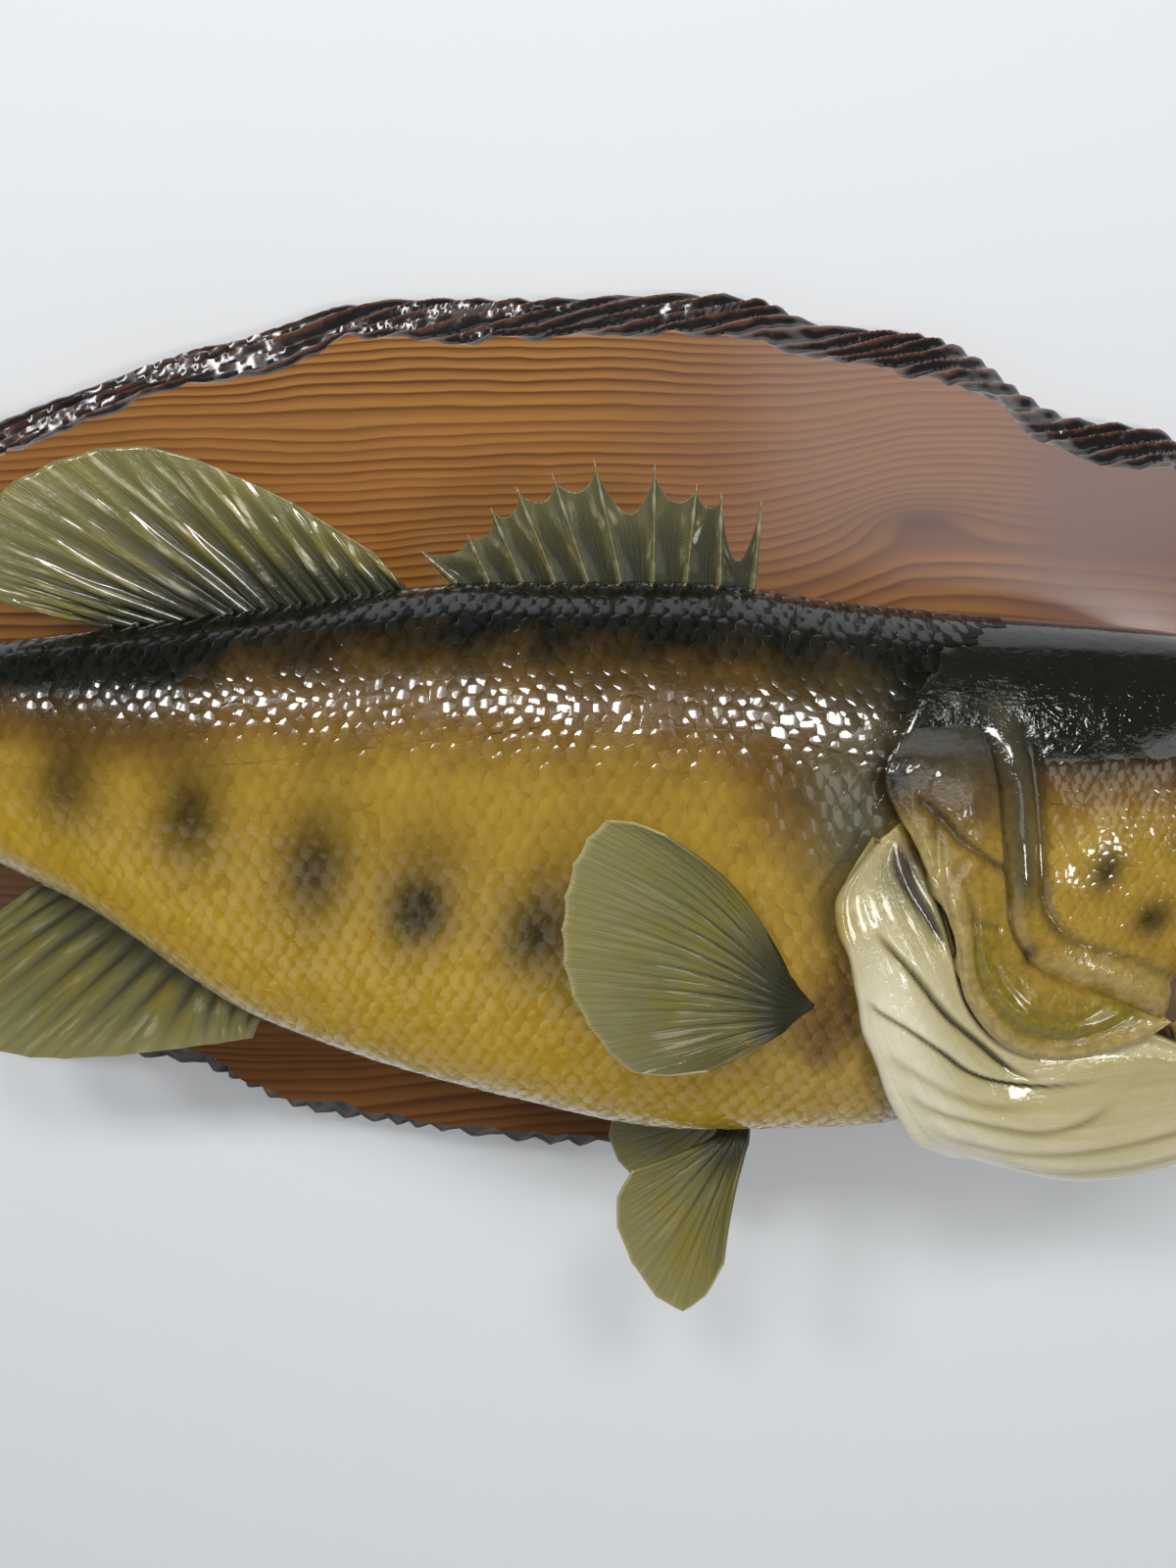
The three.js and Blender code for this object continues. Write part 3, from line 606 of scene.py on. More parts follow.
class Nodes:
    """Short ways to add nodes to a material or a node group."""

    def __init__(self, tree):
        self.tree = tree

    def add(self, kind, **settings):
        made = self.tree.nodes.new(kind)
        for key, value in settings.items():
            setattr(made, key, value)
        return made

    def feed(self, value, socket):
        if isinstance(value, bpy.types.NodeSocket):
            self.tree.links.new(value, socket)
        elif isinstance(value, (tuple, list, bpy.types.bpy_prop_array)) or hasattr(value, "r"):
            size = len(socket.default_value)
            socket.default_value = (list(value) + [1.0])[:size]
        else:
            socket.default_value = value

    def math(self, operation, a, b=0.0, c=0.0, clamp=False):
        made = self.add("ShaderNodeMath", operation=operation, use_clamp=clamp)
        for value, socket in zip((a, b, c), made.inputs):
            self.feed(value, socket)
        return made.outputs[0]

    def times(self, a, b, clamp=False):
        return self.math("MULTIPLY", a, b, clamp=clamp)

    def plus(self, a, b):
        return self.math("ADD", a, b)

    def minus(self, a, b):
        return self.math("SUBTRACT", a, b)

    def times_plus(self, a, b, c):
        return self.math("MULTIPLY_ADD", a, b, c)

    def combine(self, *values):
        """A vector from two or three numbers."""
        made = self.add("ShaderNodeCombineXYZ")
        for value, socket in zip(values, made.inputs):
            self.feed(value, socket)
        return made.outputs[0]

    def separate(self, vector):
        made = self.add("ShaderNodeSeparateXYZ")
        self.feed(vector, made.inputs[0])
        return made.outputs

    def vector(self, operation, a, b=(0, 0, 0)):
        made = self.add("ShaderNodeVectorMath", operation=operation)
        self.feed(a, made.inputs[0])
        if operation not in ("LENGTH", "NORMALIZE"):
            self.feed(b, made.inputs[1])
        return made.outputs["Value" if operation in ("LENGTH", "DOT_PRODUCT") else "Vector"]

    def mix(self, share, a, b, blend="MIX"):
        made = self.add("ShaderNodeMix", data_type="RGBA", blend_type=blend)
        self.feed(share, made.inputs[0])
        self.feed(a, made.inputs[6])
        self.feed(b, made.inputs[7])
        return made.outputs[2]

    def range(self, value, low, high, to_low=0.0, to_high=1.0):
        """Goes smoothly from to_low to to_high while the value goes from low to high."""
        made = self.add("ShaderNodeMapRange", interpolation_type="SMOOTHSTEP")
        for number, socket in zip((value, low, high, to_low, to_high), made.inputs):
            self.feed(number, socket)
        return made.outputs[0]

    def ramp(self, value, stops):
        made = self.add("ShaderNodeValToRGB")
        elements = made.color_ramp.elements
        while len(elements) < len(stops):
            elements.new(0.5)
        for element, (position, colour) in zip(elements, stops):
            element.position = position
            element.color = (*tuple(colour)[:3], 1.0)
        self.feed(value, made.inputs[0])
        return made.outputs[0]

    def attribute(self, name):
        return self.add("ShaderNodeAttribute", attribute_name=name).outputs["Fac"]

    def position(self, stretch=(1, 1, 1)):
        """Object coordinates in metres, stretched along each axis."""
        here = self.add("ShaderNodeTexCoord").outputs["Object"]
        return self.vector("MULTIPLY", here, stretch) if stretch != (1, 1, 1) else here

    def noise(self, vector, scale, detail=2.0, roughness=0.5, distortion=0.0):
        made = self.add("ShaderNodeTexNoise")
        self.feed(vector, made.inputs["Vector"])
        settings = {"Scale": scale, "Detail": detail, "Roughness": roughness, "Distortion": distortion}
        for key, value in settings.items():
            made.inputs[key].default_value = value
        return made.outputs["Fac"]

    def cells(self, vector, scale):
        """The distance to the nearest of scattered points."""
        made = self.add("ShaderNodeTexVoronoi", feature="F1")
        self.feed(vector, made.inputs["Vector"])
        made.inputs["Scale"].default_value = scale
        return made.outputs["Distance"]

    def bump(self, height, distance, strength):
        made = self.add("ShaderNodeBump")
        for key, value in (("Distance", distance), ("Strength", strength), ("Height", height)):
            self.feed(value, made.inputs[key])
        return made.outputs[0]

    def group(self, name, **inputs):
        made = self.add("ShaderNodeGroup", node_tree=bpy.data.node_groups[name])
        for key, value in inputs.items():
            self.feed(value, made.inputs[key])
        return made.outputs


def node_group(name, inputs, outputs):
    """A shader node group with named sockets, given as (name, type, default)."""
    tree = bpy.data.node_groups.new(name, "ShaderNodeTree")
    for socket_name, kind, default in inputs:
        tree.interface.new_socket(socket_name, in_out="INPUT", socket_type=kind).default_value = default
    for socket_name, kind in outputs:
        tree.interface.new_socket(socket_name, in_out="OUTPUT", socket_type=kind)
    return tree, tree.nodes.new("NodeGroupInput").outputs, tree.nodes.new("NodeGroupOutput").inputs


def material(name, **constants):
    """A material with one Principled shader, whose constant sockets are set here."""
    made = bpy.data.materials.new(name)
    made.use_nodes = True
    shader = made.node_tree.nodes["Principled BSDF"]
    for key, value in constants.items():
        shader.inputs[key.replace("_", " ")].default_value = value
    return made, Nodes(made.node_tree), shader.inputs


def give(piece, made):
    piece.data.materials.clear()
    piece.data.materials.append(made)


FLOAT, COLOUR = "NodeSocketFloat", "NodeSocketColor"
VARNISH = {"Coat_Weight": 0.55, "Coat_Roughness": 0.05, "Coat_IOR": 1.5, "Specular_IOR_Level": 0.35}


def build_markings_group(colours):
    """The bass's painted markings, with painted shade in the folds and a painted grey sheen by the gill, read
    from the masks that skin and scales carry.
    """
    tree, _, result = node_group("Bass markings", [], [("Color", COLOUR), ("Mottle", FLOAT)])
    n = Nodes(tree)
    here = n.position()
    drift = n.times_plus(n.noise(here, 70, 4, 0.6), 0.16, -0.08)
    shade = n.plus(n.attribute("shade"), drift)
    base = n.ramp(shade, [
        (0.00, colours.belly), (0.06, colours.lower_flank), (0.30, colours.lower_flank),
        (0.5, colours.flank), (0.66, colours.flank), (0.78, colours.upper_flank),
        (0.89, colours.shoulder), (0.945, colours.back), (1.0, colours.back),
    ])
    fine = n.noise(here, 420, 3, 0.6)
    broken = n.times(n.attribute("blotch"), n.range(fine, 0.25, 0.6, 0.88, 1.0), clamp=True)
    base = n.mix(broken, base, colours.blotch)
    # steel: a painted grey sheen by the gill, and the grey of the rib.
    base = n.mix(n.attribute("steel"), base, colours.steel)
    pale = n.times(n.attribute("pale"), n.range(fine, 0.2, 0.7, 0.7, 1.0))
    base = n.mix(pale, base, colours.belly)
    base = n.mix(n.attribute("dark"), base, colours.back)
    # groove: painted shade in the folds.
    base = n.mix(n.times(n.attribute("groove"), 0.8), base, colours.groove)
    n.feed(base, result["Color"])
    n.feed(fine, result["Mottle"])


def build_varnish_group():
    """Ripples and small pits in the varnish, as a height from 0 to 1."""
    tree, given, result = node_group(
        "Varnish ripples", [("Scale", FLOAT, 1.0)], [("Height", FLOAT), ("Roughness", FLOAT)]
    )
    n = Nodes(tree)
    spread = n.vector("MULTIPLY", n.position(), given["Scale"])
    ripples = n.noise(spread, 260, 3, 0.55, 0.4)
    pits = n.range(n.cells(spread, 520), 0.05, 0.22)
    n.feed(n.times_plus(pits, 0.2, ripples), result["Height"])
    n.feed(n.range(n.noise(spread, 90, 2), 0.3, 0.7, 0.05, 0.12), result["Roughness"])


def skin_material(colours):
    """Painted skin. Masks bring in the gill cover's lobe and rim, the cream membrane and the mouth."""
    made, n, shader = material("Bass skin", **VARNISH)
    mask = n.attribute
    markings_out = n.group("Bass markings")
    base = markings_out["Color"]
    patches = n.noise(n.position(), 190, 3, 0.6)
    base = n.mix(n.times(mask("lobe"), n.range(patches, 0.3, 0.6, 0.7, 1.0)), base, colours.lobe)
    base = n.mix(mask("rim"), base, colours.rim)
    lanes = n.combine(n.times(mask("lane"), 7.0), n.times(mask("run"), 5.0))
    streaks = n.noise(lanes, 1.6, 3, 0.55)
    # On the membrane, fold carries painted shade in its creases and painted highlights on its rolls.
    fold = n.plus(mask("fold"), n.times_plus(streaks, 0.24, -0.12))
    cream = n.ramp(fold, [
        (0.0, paint("#3a3320")), (0.16, colours.membrane_crease_shade_and_olive), (0.42, colours.membrane_middle),
        (0.85, colours.membrane), (1.0, colours.membrane),
    ])
    base = n.mix(mask("cream"), base, cream)
    lining = n.mix(mask("deep"), colours.mouth, colours.throat)
    base = n.mix(mask("mouth"), base, lining)
    off_cream = n.times_plus(mask("cream"), -0.85, 1.0)
    speckle = n.times(n.range(markings_out["Mottle"], 0.7, 0.25, 0.0, 0.35), off_cream)
    base = n.mix(speckle, base, colours.groove)
    n.feed(base, shader["Base Color"])
    varnish = n.group("Varnish ripples", Scale=1.0)
    wrinkles = n.noise(n.position((1, 1, 3.5)), 240, 4, 0.6, 1.2)
    height = n.times_plus(wrinkles, mask("wrinkle"), varnish["Height"])
    height = n.times_plus(streaks, n.times(mask("cream"), 0.5), height)
    n.feed(n.bump(height, 0.0004, 0.8), shader["Normal"])
    n.feed(varnish["Roughness"], shader["Roughness"])
    return made


def scale_material(colours):
    """As the skin, with painted shade darkening each scale at its root and along its edge, and slanted
    strokes of gloss by its free edge.
    """
    made, n, shader = material("Bass scales", Coat_Roughness=0.06, Coat_IOR=1.5, Specular_IOR_Level=0.12)
    base = n.group("Bass markings")["Color"]
    reach, rim, tone = n.attribute("reach"), n.attribute("edge"), n.attribute("tone")
    here = n.position()
    slanted = n.combine(
        n.times(n.vector("DOT_PRODUCT", here, (0.87, 0, -0.5)), 330.0),
        n.times(n.vector("DOT_PRODUCT", here, (0.5, 0, 0.87)), 110.0),
    )
    streaks = n.noise(slanted, 1.0, 3, 0.6)
    grains = n.noise(here, 1500, 2, 0.6)
    # Painted shade: each scale darker at its root, under the edge of the scale before it, and along its edge.
    # Tone, strokes and grains vary it at random.
    light = n.times_plus(n.range(reach, 0.45, 0.9), 0.2, 0.86)
    light = n.times_plus(tone, 0.1, light)
    light = n.times_plus(rim, -0.09, light)
    light = n.times_plus(streaks, 0.5, n.minus(light, 0.25))
    light = n.times_plus(grains, 0.3, n.minus(light, 0.15))
    grey = n.add("ShaderNodeCombineColor")
    for channel in grey.inputs:
        n.feed(light, channel)
    base = n.mix(1.0, base, grey.outputs[0], "MULTIPLY")
    on_line = n.range(n.math("ABSOLUTE", n.attribute("line")), 0.42, 0.12)
    from_tail = n.range(n.vector("DOT_PRODUCT", here, (1, 0, 0)), -0.12, 0.0, 0.3, 1.0)
    on_line = n.times(on_line, from_tail)
    dashes = n.times(on_line, n.range(reach, 0.6, 0.7))
    dashes = n.times(dashes, n.range(n.noise(here, 60, 2), 0.4, 0.62, 0.15, 0.8))
    base = n.mix(dashes, base, colours.shoulder)
    n.feed(base, shader["Base Color"])
    varnish = n.group("Varnish ripples", Scale=2.2)
    height = n.times_plus(grains, 0.6, varnish["Height"])
    height = n.times_plus(dashes, -1.2, height)
    n.feed(n.bump(height, 0.00018, 0.55), shader["Normal"])
    glossy = n.times(n.range(reach, 0.56, 0.7), n.range(streaks, 0.39, 0.49, 0.04, 1.0))
    n.feed(n.plus(varnish["Roughness"], 0.12), shader["Roughness"])
    n.feed(n.times_plus(glossy, 0.95, 0.05), shader["Coat Weight"])
    return made


# ---------------------------------------------------------------- the skin

COVER_EDGE = [
    (156, 0, 26), (166, 0, 15), (157, 0, -6), (148, 0, -27), (143, 0, -47), (129, 0, -63),
    (112, 0, -67.5), (95, 0, -62), (86, 0, -55),
]
COVER_LIFT, FAR_COVER_LIFT = 9, 4.5
COVER_THICKNESS = 3.2
MEMBRANE_ROWS = [
    [(158, 47, 4), (164, 49, 0), (168, 50, -3)],
    [(154, 49, -10), (168, 52, -15), (179, 54, -20)],
    [(147, 49, -32), (161, 53, -36), (174, 54, -39)],
    [(140, 47, -52), (155, 51, -58), (167, 49, -64)],
    [(128, 43, -64), (141, 43, -85), (151, 34, -98)],
    [(110, 40, -67), (121, 35, -103), (132, 15, -113)],
    [(90, 38, -67), (97, 28, -111), (104, 0.6, -119)],
    [(66, 36, -72), (68, 25, -104), (71, 0.6, -112)],
    [(38, 29, -70), (37, 18, -87), (35, 0.6, -93)],
    [(22, 22.5, -63), (20, 12, -75), (18, 0.6, -78)],
]
MEMBRANE_THICKNESS = 2.2
MEMBRANE_STAINS = [((178, -25), (4, 6), 1.0), ((176, -40), (3, 5), 0.6), ((164, 0), (6, 5), 0.7)]
MEMBRANE_CREASES = [
    ([(164, -1), (159, -14.5), (153, -24), (147, -35)], 0.7),
    ([(170, -24), (165, -30), (157, -39), (148, -50.5), (136, -62), (126.5, -70.5), (117, -74)], 1.3),
    ([(171, -44), (167, -49), (158, -55), (148, -62.5), (139, -70), (130, -74), (115, -76), (100, -74)], 1.5),
    ([(166, -62), (158, -68), (146, -76), (132, -82), (114, -83.5)], 0.5),
    ([(160, -74), (150, -82.5), (136.5, -87.5), (116, -91.5), (104, -88), (95, -80)], 0.7),
    ([(152, -90), (138, -96), (118, -100), (96, -98), (70, -90), (36, -80)], 0.6),
    ([(136, -103), (118, -107), (96, -107), (72, -100), (40, -86)], 0.5),
]


def membrane_folds(s, z):
    """The rolls of the membrane, in millimetres, and the painted shade along its creases, from 0 to 1."""
    height, crease = 0 * s, 0 * s
    for path, size in MEMBRANE_CREASES:
        gap, share = line_place(s, z, path)
        fade = smoothstep(share, 0, 0.25) * smoothstep(share, 1, 0.75)
        soft = 2.2 - size
        roll = 0.9 * np.exp(-np.abs(gap) / 3.2) * smoothstep(gap, 0.2, -2.0 * soft)
        tuck = 1.2 * np.exp(-np.abs(gap) / 5.5) * smoothstep(gap, -1.1 * soft, 0.4 * soft)
        height += size * fade * (roll - tuck)
        crease = np.maximum(crease, fade * size * ridge(gap - 0.2, soft))
    return height, crease


CAVITY_START, CAVITY_END = 4, 122
cavity_half_width = through([
    (CAVITY_START, 2), (14, 8), (25, 12.5), (50, 17.5), (80, 22.5), (100, 22), (118, 9), (CAVITY_END, 1),
])
cavity_half_height = through([
    (CAVITY_START, 2), (14, 8), (25, 13), (50, 18), (80, 23), (100, 20), (118, 8), (CAVITY_END, 1),
])
cavity_middle = through([(CAVITY_START, -2), (25, -19), (50, -37), (80, -57), (100, -53), (CAVITY_END, -46)])


def body_hull(coat):
    stations = np.concatenate([np.linspace(-1.2, 90, 90), np.linspace(92, SCALE_END, 160)])
    s, out, z = section(*rounds(stations, 96, -math.pi / 2), -coat)
    out[0], z[0] = 0, 2
    out[-1], z[-1] = 0, 18
    return hull("body", place(s, out, z))


def mouth_cavity():
    """The hollow that is cut from the head."""
    s, turn = rounds(np.linspace(CAVITY_START, CAVITY_END, 50), 40)
    out = cavity_half_width(s) * np.cos(turn)
    z = cavity_middle(s) + cavity_half_height(s) * np.sin(turn)
    out[0], out[-1], z[0], z[-1] = 0, 0, -2, -46
    return hull("cavity", place(s, out, z))


def lower_jaw_hull(coat):
    stations = np.concatenate([np.linspace(-22.3, -10, 16), np.linspace(-9, 84, 44)])
    s = stations[:, None]
    half = np.linspace(0, math.pi, 25)[None]
    wide = jaw_half_width(s) - coat
    inner = np.maximum(wide - 4.4, wide * 0.4)
    lip = lip_height(s) - coat
    outer_out, outer_z = wide * np.cos(half), lip - (jaw_depth(s) - 2 * coat) * np.sin(half) ** 0.8
    back = half[:, ::-1]
    inner_out, inner_z = inner * np.cos(back), lip - (mouth_depth(s) - 1) * np.sin(back)
    out = np.concatenate([outer_out, inner_out], 1)
    z = np.concatenate([outer_z, inner_z], 1)
    s = s + 0 * out
    for end in (0, -1):
        out[end], z[end] = 0, lip[end] - 4
    return hull("lower_jaw", place(s, out, z))


def upper_jaw_hull():
    """The upper lip and the two upper jawbones, round the snout from corner to corner."""
    path = [(76, 37.5, -52), (56, 33, -38), (34, 26, -21), (15, 19, -9), (3, 10.5, -1.5), (-2, 0, 1)]
    path += [(s, -out, z) for s, out, z in path[-2::-1]]
    half_height = through([(0, 8), (0.06, 9.5), (0.2, 7), (0.32, 4.6), (0.5, 4.2)])
    u = np.linspace(0, 1, 110)
    centre = along(path, u)
    tangent = along(path, np.minimum(u + 0.01, 1)) - along(path, np.maximum(u - 0.01, 0))
    away = np.stack([-tangent[:, 1], tangent[:, 0]], -1)
    away /= np.linalg.norm(away, axis=1, keepdims=True)
    turn = np.linspace(0, math.tau, 25)[:-1][None]
    ends = np.sqrt(np.clip(np.minimum(u, 1 - u) / 0.02, 0, 1))[:, None]
    thick = 2.3 * np.cos(turn) * ends
    height = (half_height(np.minimum(u, 1 - u)) - 0.4)[:, None] * ends
    s = centre[:, :1] + away[:, :1] * thick
    out = centre[:, 1:2] + away[:, 1:2] * thick
    return hull("upper_jaw", place(s, out, centre[:, 2:] + height * np.sin(turn)))


def press_folds(piece):
    """Presses the head's folds, ridges, eye rims and nostrils into the skin."""
    points = corners(piece)
    s, out, z = fish_measures(points)
    outer = np.abs(out) > half_width_at(np.clip(s, 0, 480), z) * 0.72 - 1
    height = head_relief(s, z) * (outer & (s > 0) & (s < 180))
    lip = lip_height(s)
    pores = np.zeros(len(s))
    for pore_s in range(4, 76, 12):
        pores += ridge(np.hypot(s - pore_s, z - (lip_height(pore_s) - 0.42 * jaw_depth(pore_s))), 1.2)
    height -= pores * (s < JAW_JOINT_S) * (z < lip)
    move_corners(piece, points + normals(piece) * height[:, None] * MM)


def paint_body(piece):
    """The masks of head, jaws and trunk."""
    s, out, z = fish_measures(corners(piece))
    masks = markings(s, out, z)
    lip = lip_height(s)
    on_jaw = (s < JAW_JOINT_S + 6) & (z < lip + 1.5) & (z < keel_line(np.maximum(s, 0)) - 1)
    facing = normals(piece)
    inward = -out * facing[:, 1] + facing[:, 2] * (z - lip - 2)
    inside_jaw = (np.abs(out) < jaw_half_width(s) - 3) & (z > lip - mouth_depth(s) - 2) & (inward < 0)
    cavity = np.hypot(
        out / (cavity_half_width(s) + 1.6), (z - cavity_middle(s)) / (cavity_half_height(s) + 1.6)
    )
    mouth = ((cavity < 1) & (s > 3) & (s < 127)) | (inside_jaw & (s < JAW_JOINT_S + 6))
    cream = strongest(
        on_jaw * smoothstep(z, lip - 7, lip - 15), smoothstep(s, 100, 88) * smoothstep(z, -66, -74)
    )
    masks["shade"] = np.where(on_jaw, 0.74, masks["shade"])
    fold = 0.62 + 0.3 * wander(s / 9, z / 5, 8)
    wrinkle = 0.7 * blob(s, z, (142, 34), (22, 7)) + 0.06
    low_rib = 0.75 * ridge(line_distance(s, z, PREOPERCLE), 5.5) * smoothstep(z, -32, -42)
    tan = strongest(low_rib, *(blob(s, z, pore, (3.2, 2.4)) for pore in LEDGE_PORES))
    mark(
        piece, cream=cream, mouth=mouth, deep=smoothstep(s, 30, 110) * mouth, fold=fold, lobe=0, rim=tan,
        wrinkle=wrinkle, lane=z / 6, run=s / 60, **masks,
    )


COVER_CREASE = [(157, 8), (152, 4), (147, -2), (141, -6.5), (136, -10), (130, -13)]
COVER_FOLD = [(150, -25), (146, -24), (140, -25.5), (135, -27)]
COVER_SEAM = [(153, 3), (152.5, -10), (149.5, -24), (145, -38)]
COVER_BUMPS = [((143, 10), (7, 6), 1.9), ((122, -51), (13, 9), 2.0)]
EDGE_INSET = 6.5
HEAD_END = 176


def beside(path, gap):
    """A line drawn at a distance to the left of another one, seen along it."""
    ahead = np.gradient(path, axis=0)
    ahead /= np.linalg.norm(ahead, axis=1, keepdims=True)
    return path + gap * np.stack([-ahead[:, 2], 0 * ahead[:, 1], ahead[:, 0]], -1)


def gill_cover(side):
    """The bony cover, from under the cheek's rear ridge to its thin free edge."""
    rows, columns = (104, 60) if side > 0 else (48, 26)
    v = np.linspace(0, 1, rows)
    u = np.linspace(0, 1, columns)[None, :]
    front = beside(along([(s, 0, z) for s, z in PREOPERCLE[:9]], v), 4.6)
    edge = along(COVER_EDGE, v)
    s = lerp(front[:, :1], edge[:, :1], u)
    z = lerp(front[:, 2:], edge[:, 2:], u)
    rise = COVER_LIFT if side > 0 else FAR_COVER_LIFT
    lift = lerp(1.8, rise, u**0.8) - 3.2 * smoothstep(u, 0.06, 0)
    lift = lerp(lift, -1.6, smoothstep(v, 0.09, 0)[:, None])
    crease = line_distance(s, z, COVER_CREASE)
    lift -= 2.0 * ridge(crease, 1.0)
    lift += 1.4 * smoothstep(crease, 0.5, -3) * blob(s, z, (146, 8), (14, 16))
    fold = line_distance(s, z, COVER_FOLD)
    seam = line_distance(s, z, COVER_SEAM)
    lift = lift - 1.2 * ridge(fold, 1.1) - 0.8 * ridge(seam, 1.2)
    lift = sum(spots(s, z, COVER_BUMPS), lift)
    from_edge = np.hypot(s - edge[:, :1], z - edge[:, 2:])
    inner = ridge(from_edge - EDGE_INSET - 1.5 * u * smoothstep(z, -60, -30), 1.3) * smoothstep(z, -12, -24)
    rings = np.sin(from_edge * 1.35) * smoothstep(z, -28, -44) * smoothstep(from_edge, 20, 12)
    lift = lift - 1.1 * inner + 0.2 * rings
    lumpy = smoothstep(u, 0, 0.3) * lerp(0.5, 1.3, smoothstep(z, -30, 0))
    lift += (0.32 * wander(s / 4, z / 5, 11) + 0.26 * wander(s / 1.2, z / 1.5, 12)) * lumpy
    lift += 0.24 * wander(s / 2.2, z / 2.6, 13) * smoothstep(z, -8, 3) * smoothstep(u, 0, 0.3)
    lift -= 1.2 * smoothstep(from_edge, 2.5, 0)
    out = half_width_at(s, z) + lift
    piece = sheet("gill_cover", place(s, side * out, z), (0, -side, 0))
    masks = markings(s, out, z)
    rim = smoothstep(from_edge, EDGE_INSET + 1, 2.5) * smoothstep(z, 8, -6)
    lobe = smoothstep(from_edge, 24, 9) * smoothstep(z, -20, -38) * (1 - rim)
    # steel on the cover's top: a painted grey sheen of reflected light.
    masks["steel"] = 0.4 * smoothstep(z, -5, 17) + 0.2 * blob(s, z, (150, -12), (6, 12))
    # Painted shade in the cover's crease, fold and seam, in its inner groove and where it tucks under the
    # rib.
    masks["groove"] = strongest(
        0.9 * ridge(crease, 1.0), 0.7 * ridge(fold, 0.8) * (s < 151), 0.5 * ridge(seam, 1.6), 0.45 * inner,
        0.9 * smoothstep(u, 0.1, 0.02) * smoothstep(z, -50, -30),
    )
    mark(
        piece, cream=0, mouth=0, deep=0, fold=0, lobe=0.9 * lobe, rim=0.85 * rim,
        wrinkle=0.5 + smoothstep(z, -8, 8), lane=0, run=0, **masks,
    )
    return thicken(piece, COVER_THICKNESS * MM)


def gill_membrane(side):
    """The cream membrane. Long smooth rolls slant out from under the cover."""
    rows, columns = (190, 84) if side > 0 else (56, 28)
    u = np.linspace(0, 1, rows)
    v = np.linspace(-0.14, 1, columns)
    lines = [along([row[k] for row in MEMBRANE_ROWS], u) for k in range(3)]
    across = np.clip(v, 0, 1)
    grid = np.stack([along([lines[k][i] for k in range(3)], across) for i in range(rows)])
    under_cover = lerp(0.2, 1, smoothstep(u, 0.78, 0.62))[:, None]
    root = (lines[0][:, None] - lines[1][:, None]) * under_cover[..., None]
    grid = grid + root * np.clip(-v, 0, 1)[None, :, None]
    facing = grid_normals(grid)
    facing *= np.sign(facing[rows // 3, columns // 2, 1])
    uu, vv = np.meshgrid(u, v, indexing="ij")
    folds, crease = membrane_folds(grid[..., 0], grid[..., 2])
    folds = folds * smoothstep(uu, 1.0, 0.85)
    lane = (vv + 0.62 * uu) * 3.5
    swell = 0.45 * wander(uu * 7, vv * 3, 21)
    swell += 0.06 * np.sin(lane * 13 + 3 * wander(uu * 6, vv * 3, 7)) * smoothstep(uu, 0.06, 0.2)
    tuck = -3.2 * smoothstep(vv, 0.06, -0.1) * under_cover
    hem = -0.9 * smoothstep(vv, 0.97, 1.0) + 0.5 * ridge(vv - 0.93, 0.04)
    grid = grid + facing * (folds + swell + tuck + hem - 0.7)[..., None]
    ruffle = wander(uu * 26, 0 * vv, 31) * smoothstep(vv, 0.8, 1.0)
    narrow = 1 if side > 0 else lerp(0.9, 1, smoothstep(uu, 0.6, 0.85))
    s, out, z = grid[..., 0] + 0.9 * ruffle, grid[..., 1] * narrow, grid[..., 2] - 0.6 * ruffle
    out = np.maximum(out, GAP)
    piece = sheet("gill_membrane", place(s, side * out, z), (0.1, -side, -0.3))
    masks = {name: 0 for name in markings(s, out, z)}
    masks["shade"] = 0.35
    stain = strongest(*spots(s, z, MEMBRANE_STAINS))
    tone = 0.47 + 0.4 * smoothstep(vv, 0.0, 0.75) + 0.07 * wander(uu * 8, vv * 5, 33)
    tone -= 0.48 * smoothstep(uu, 0.3, 0.06)
    # Painted highlights on the rolls and painted shade in the creases.
    tone = tone + 0.1 * folds - 0.4 * crease
    mark(
        piece, cream=1 - 0.75 * stain, mouth=0, deep=0, fold=tone, lobe=0, rim=0, wrinkle=0.2, lane=lane,
        run=uu, **masks,
    )
    return thicken(piece, MEMBRANE_THICKNESS * MM)


def thin_out(piece, where, ratio):
    """Leaves fewer faces where the skin lies under the scales or on the side by the slab."""
    s, out, _ = fish_measures(corners(piece))
    in_edit_mode(piece, (bpy.ops.mesh.decimate, {"ratio": ratio}), chosen=where(s, out))


def build_skin(sizes, colours):
    coat = sizes.coat_depth / MM
    body = body_hull(coat)
    cavity = mouth_cavity()
    apply_modifier(body, "BOOLEAN", operation="DIFFERENCE", object=cavity, solver="MANIFOLD")
    bpy.data.objects.remove(cavity)
    head = join([body, lower_jaw_hull(coat), upper_jaw_hull()], "skin")
    apply_modifier(head, "REMESH", mode="VOXEL", voxel_size=sizes.skin_grain)
    in_edit_mode(head, (bpy.ops.mesh.vertices_smooth, {"factor": 0.5, "repeat": 3}))
    thin_out(head, lambda s, out: s > HEAD_END, 0.1)
    thin_out(head, lambda s, out: (s <= HEAD_END) & (out < 4), 0.22)
    press_folds(head)
    paint_body(head)
    flaps = [make(side) for side in (1, -1) for make in (gill_cover, gill_membrane)]
    skin = join([head, *flaps], "skin")
    give(skin, skin_material(colours))
    smooth(skin)
    return finished(
        skin, "bass_skin", "head", "trunk", "tail_stalk", "upper_jaw", "lower_jaw", "gill_cover_right",
        "gill_cover_left", "gill_membrane_right", "gill_membrane_left",
    )


# ---------------------------------------------------------------- scales

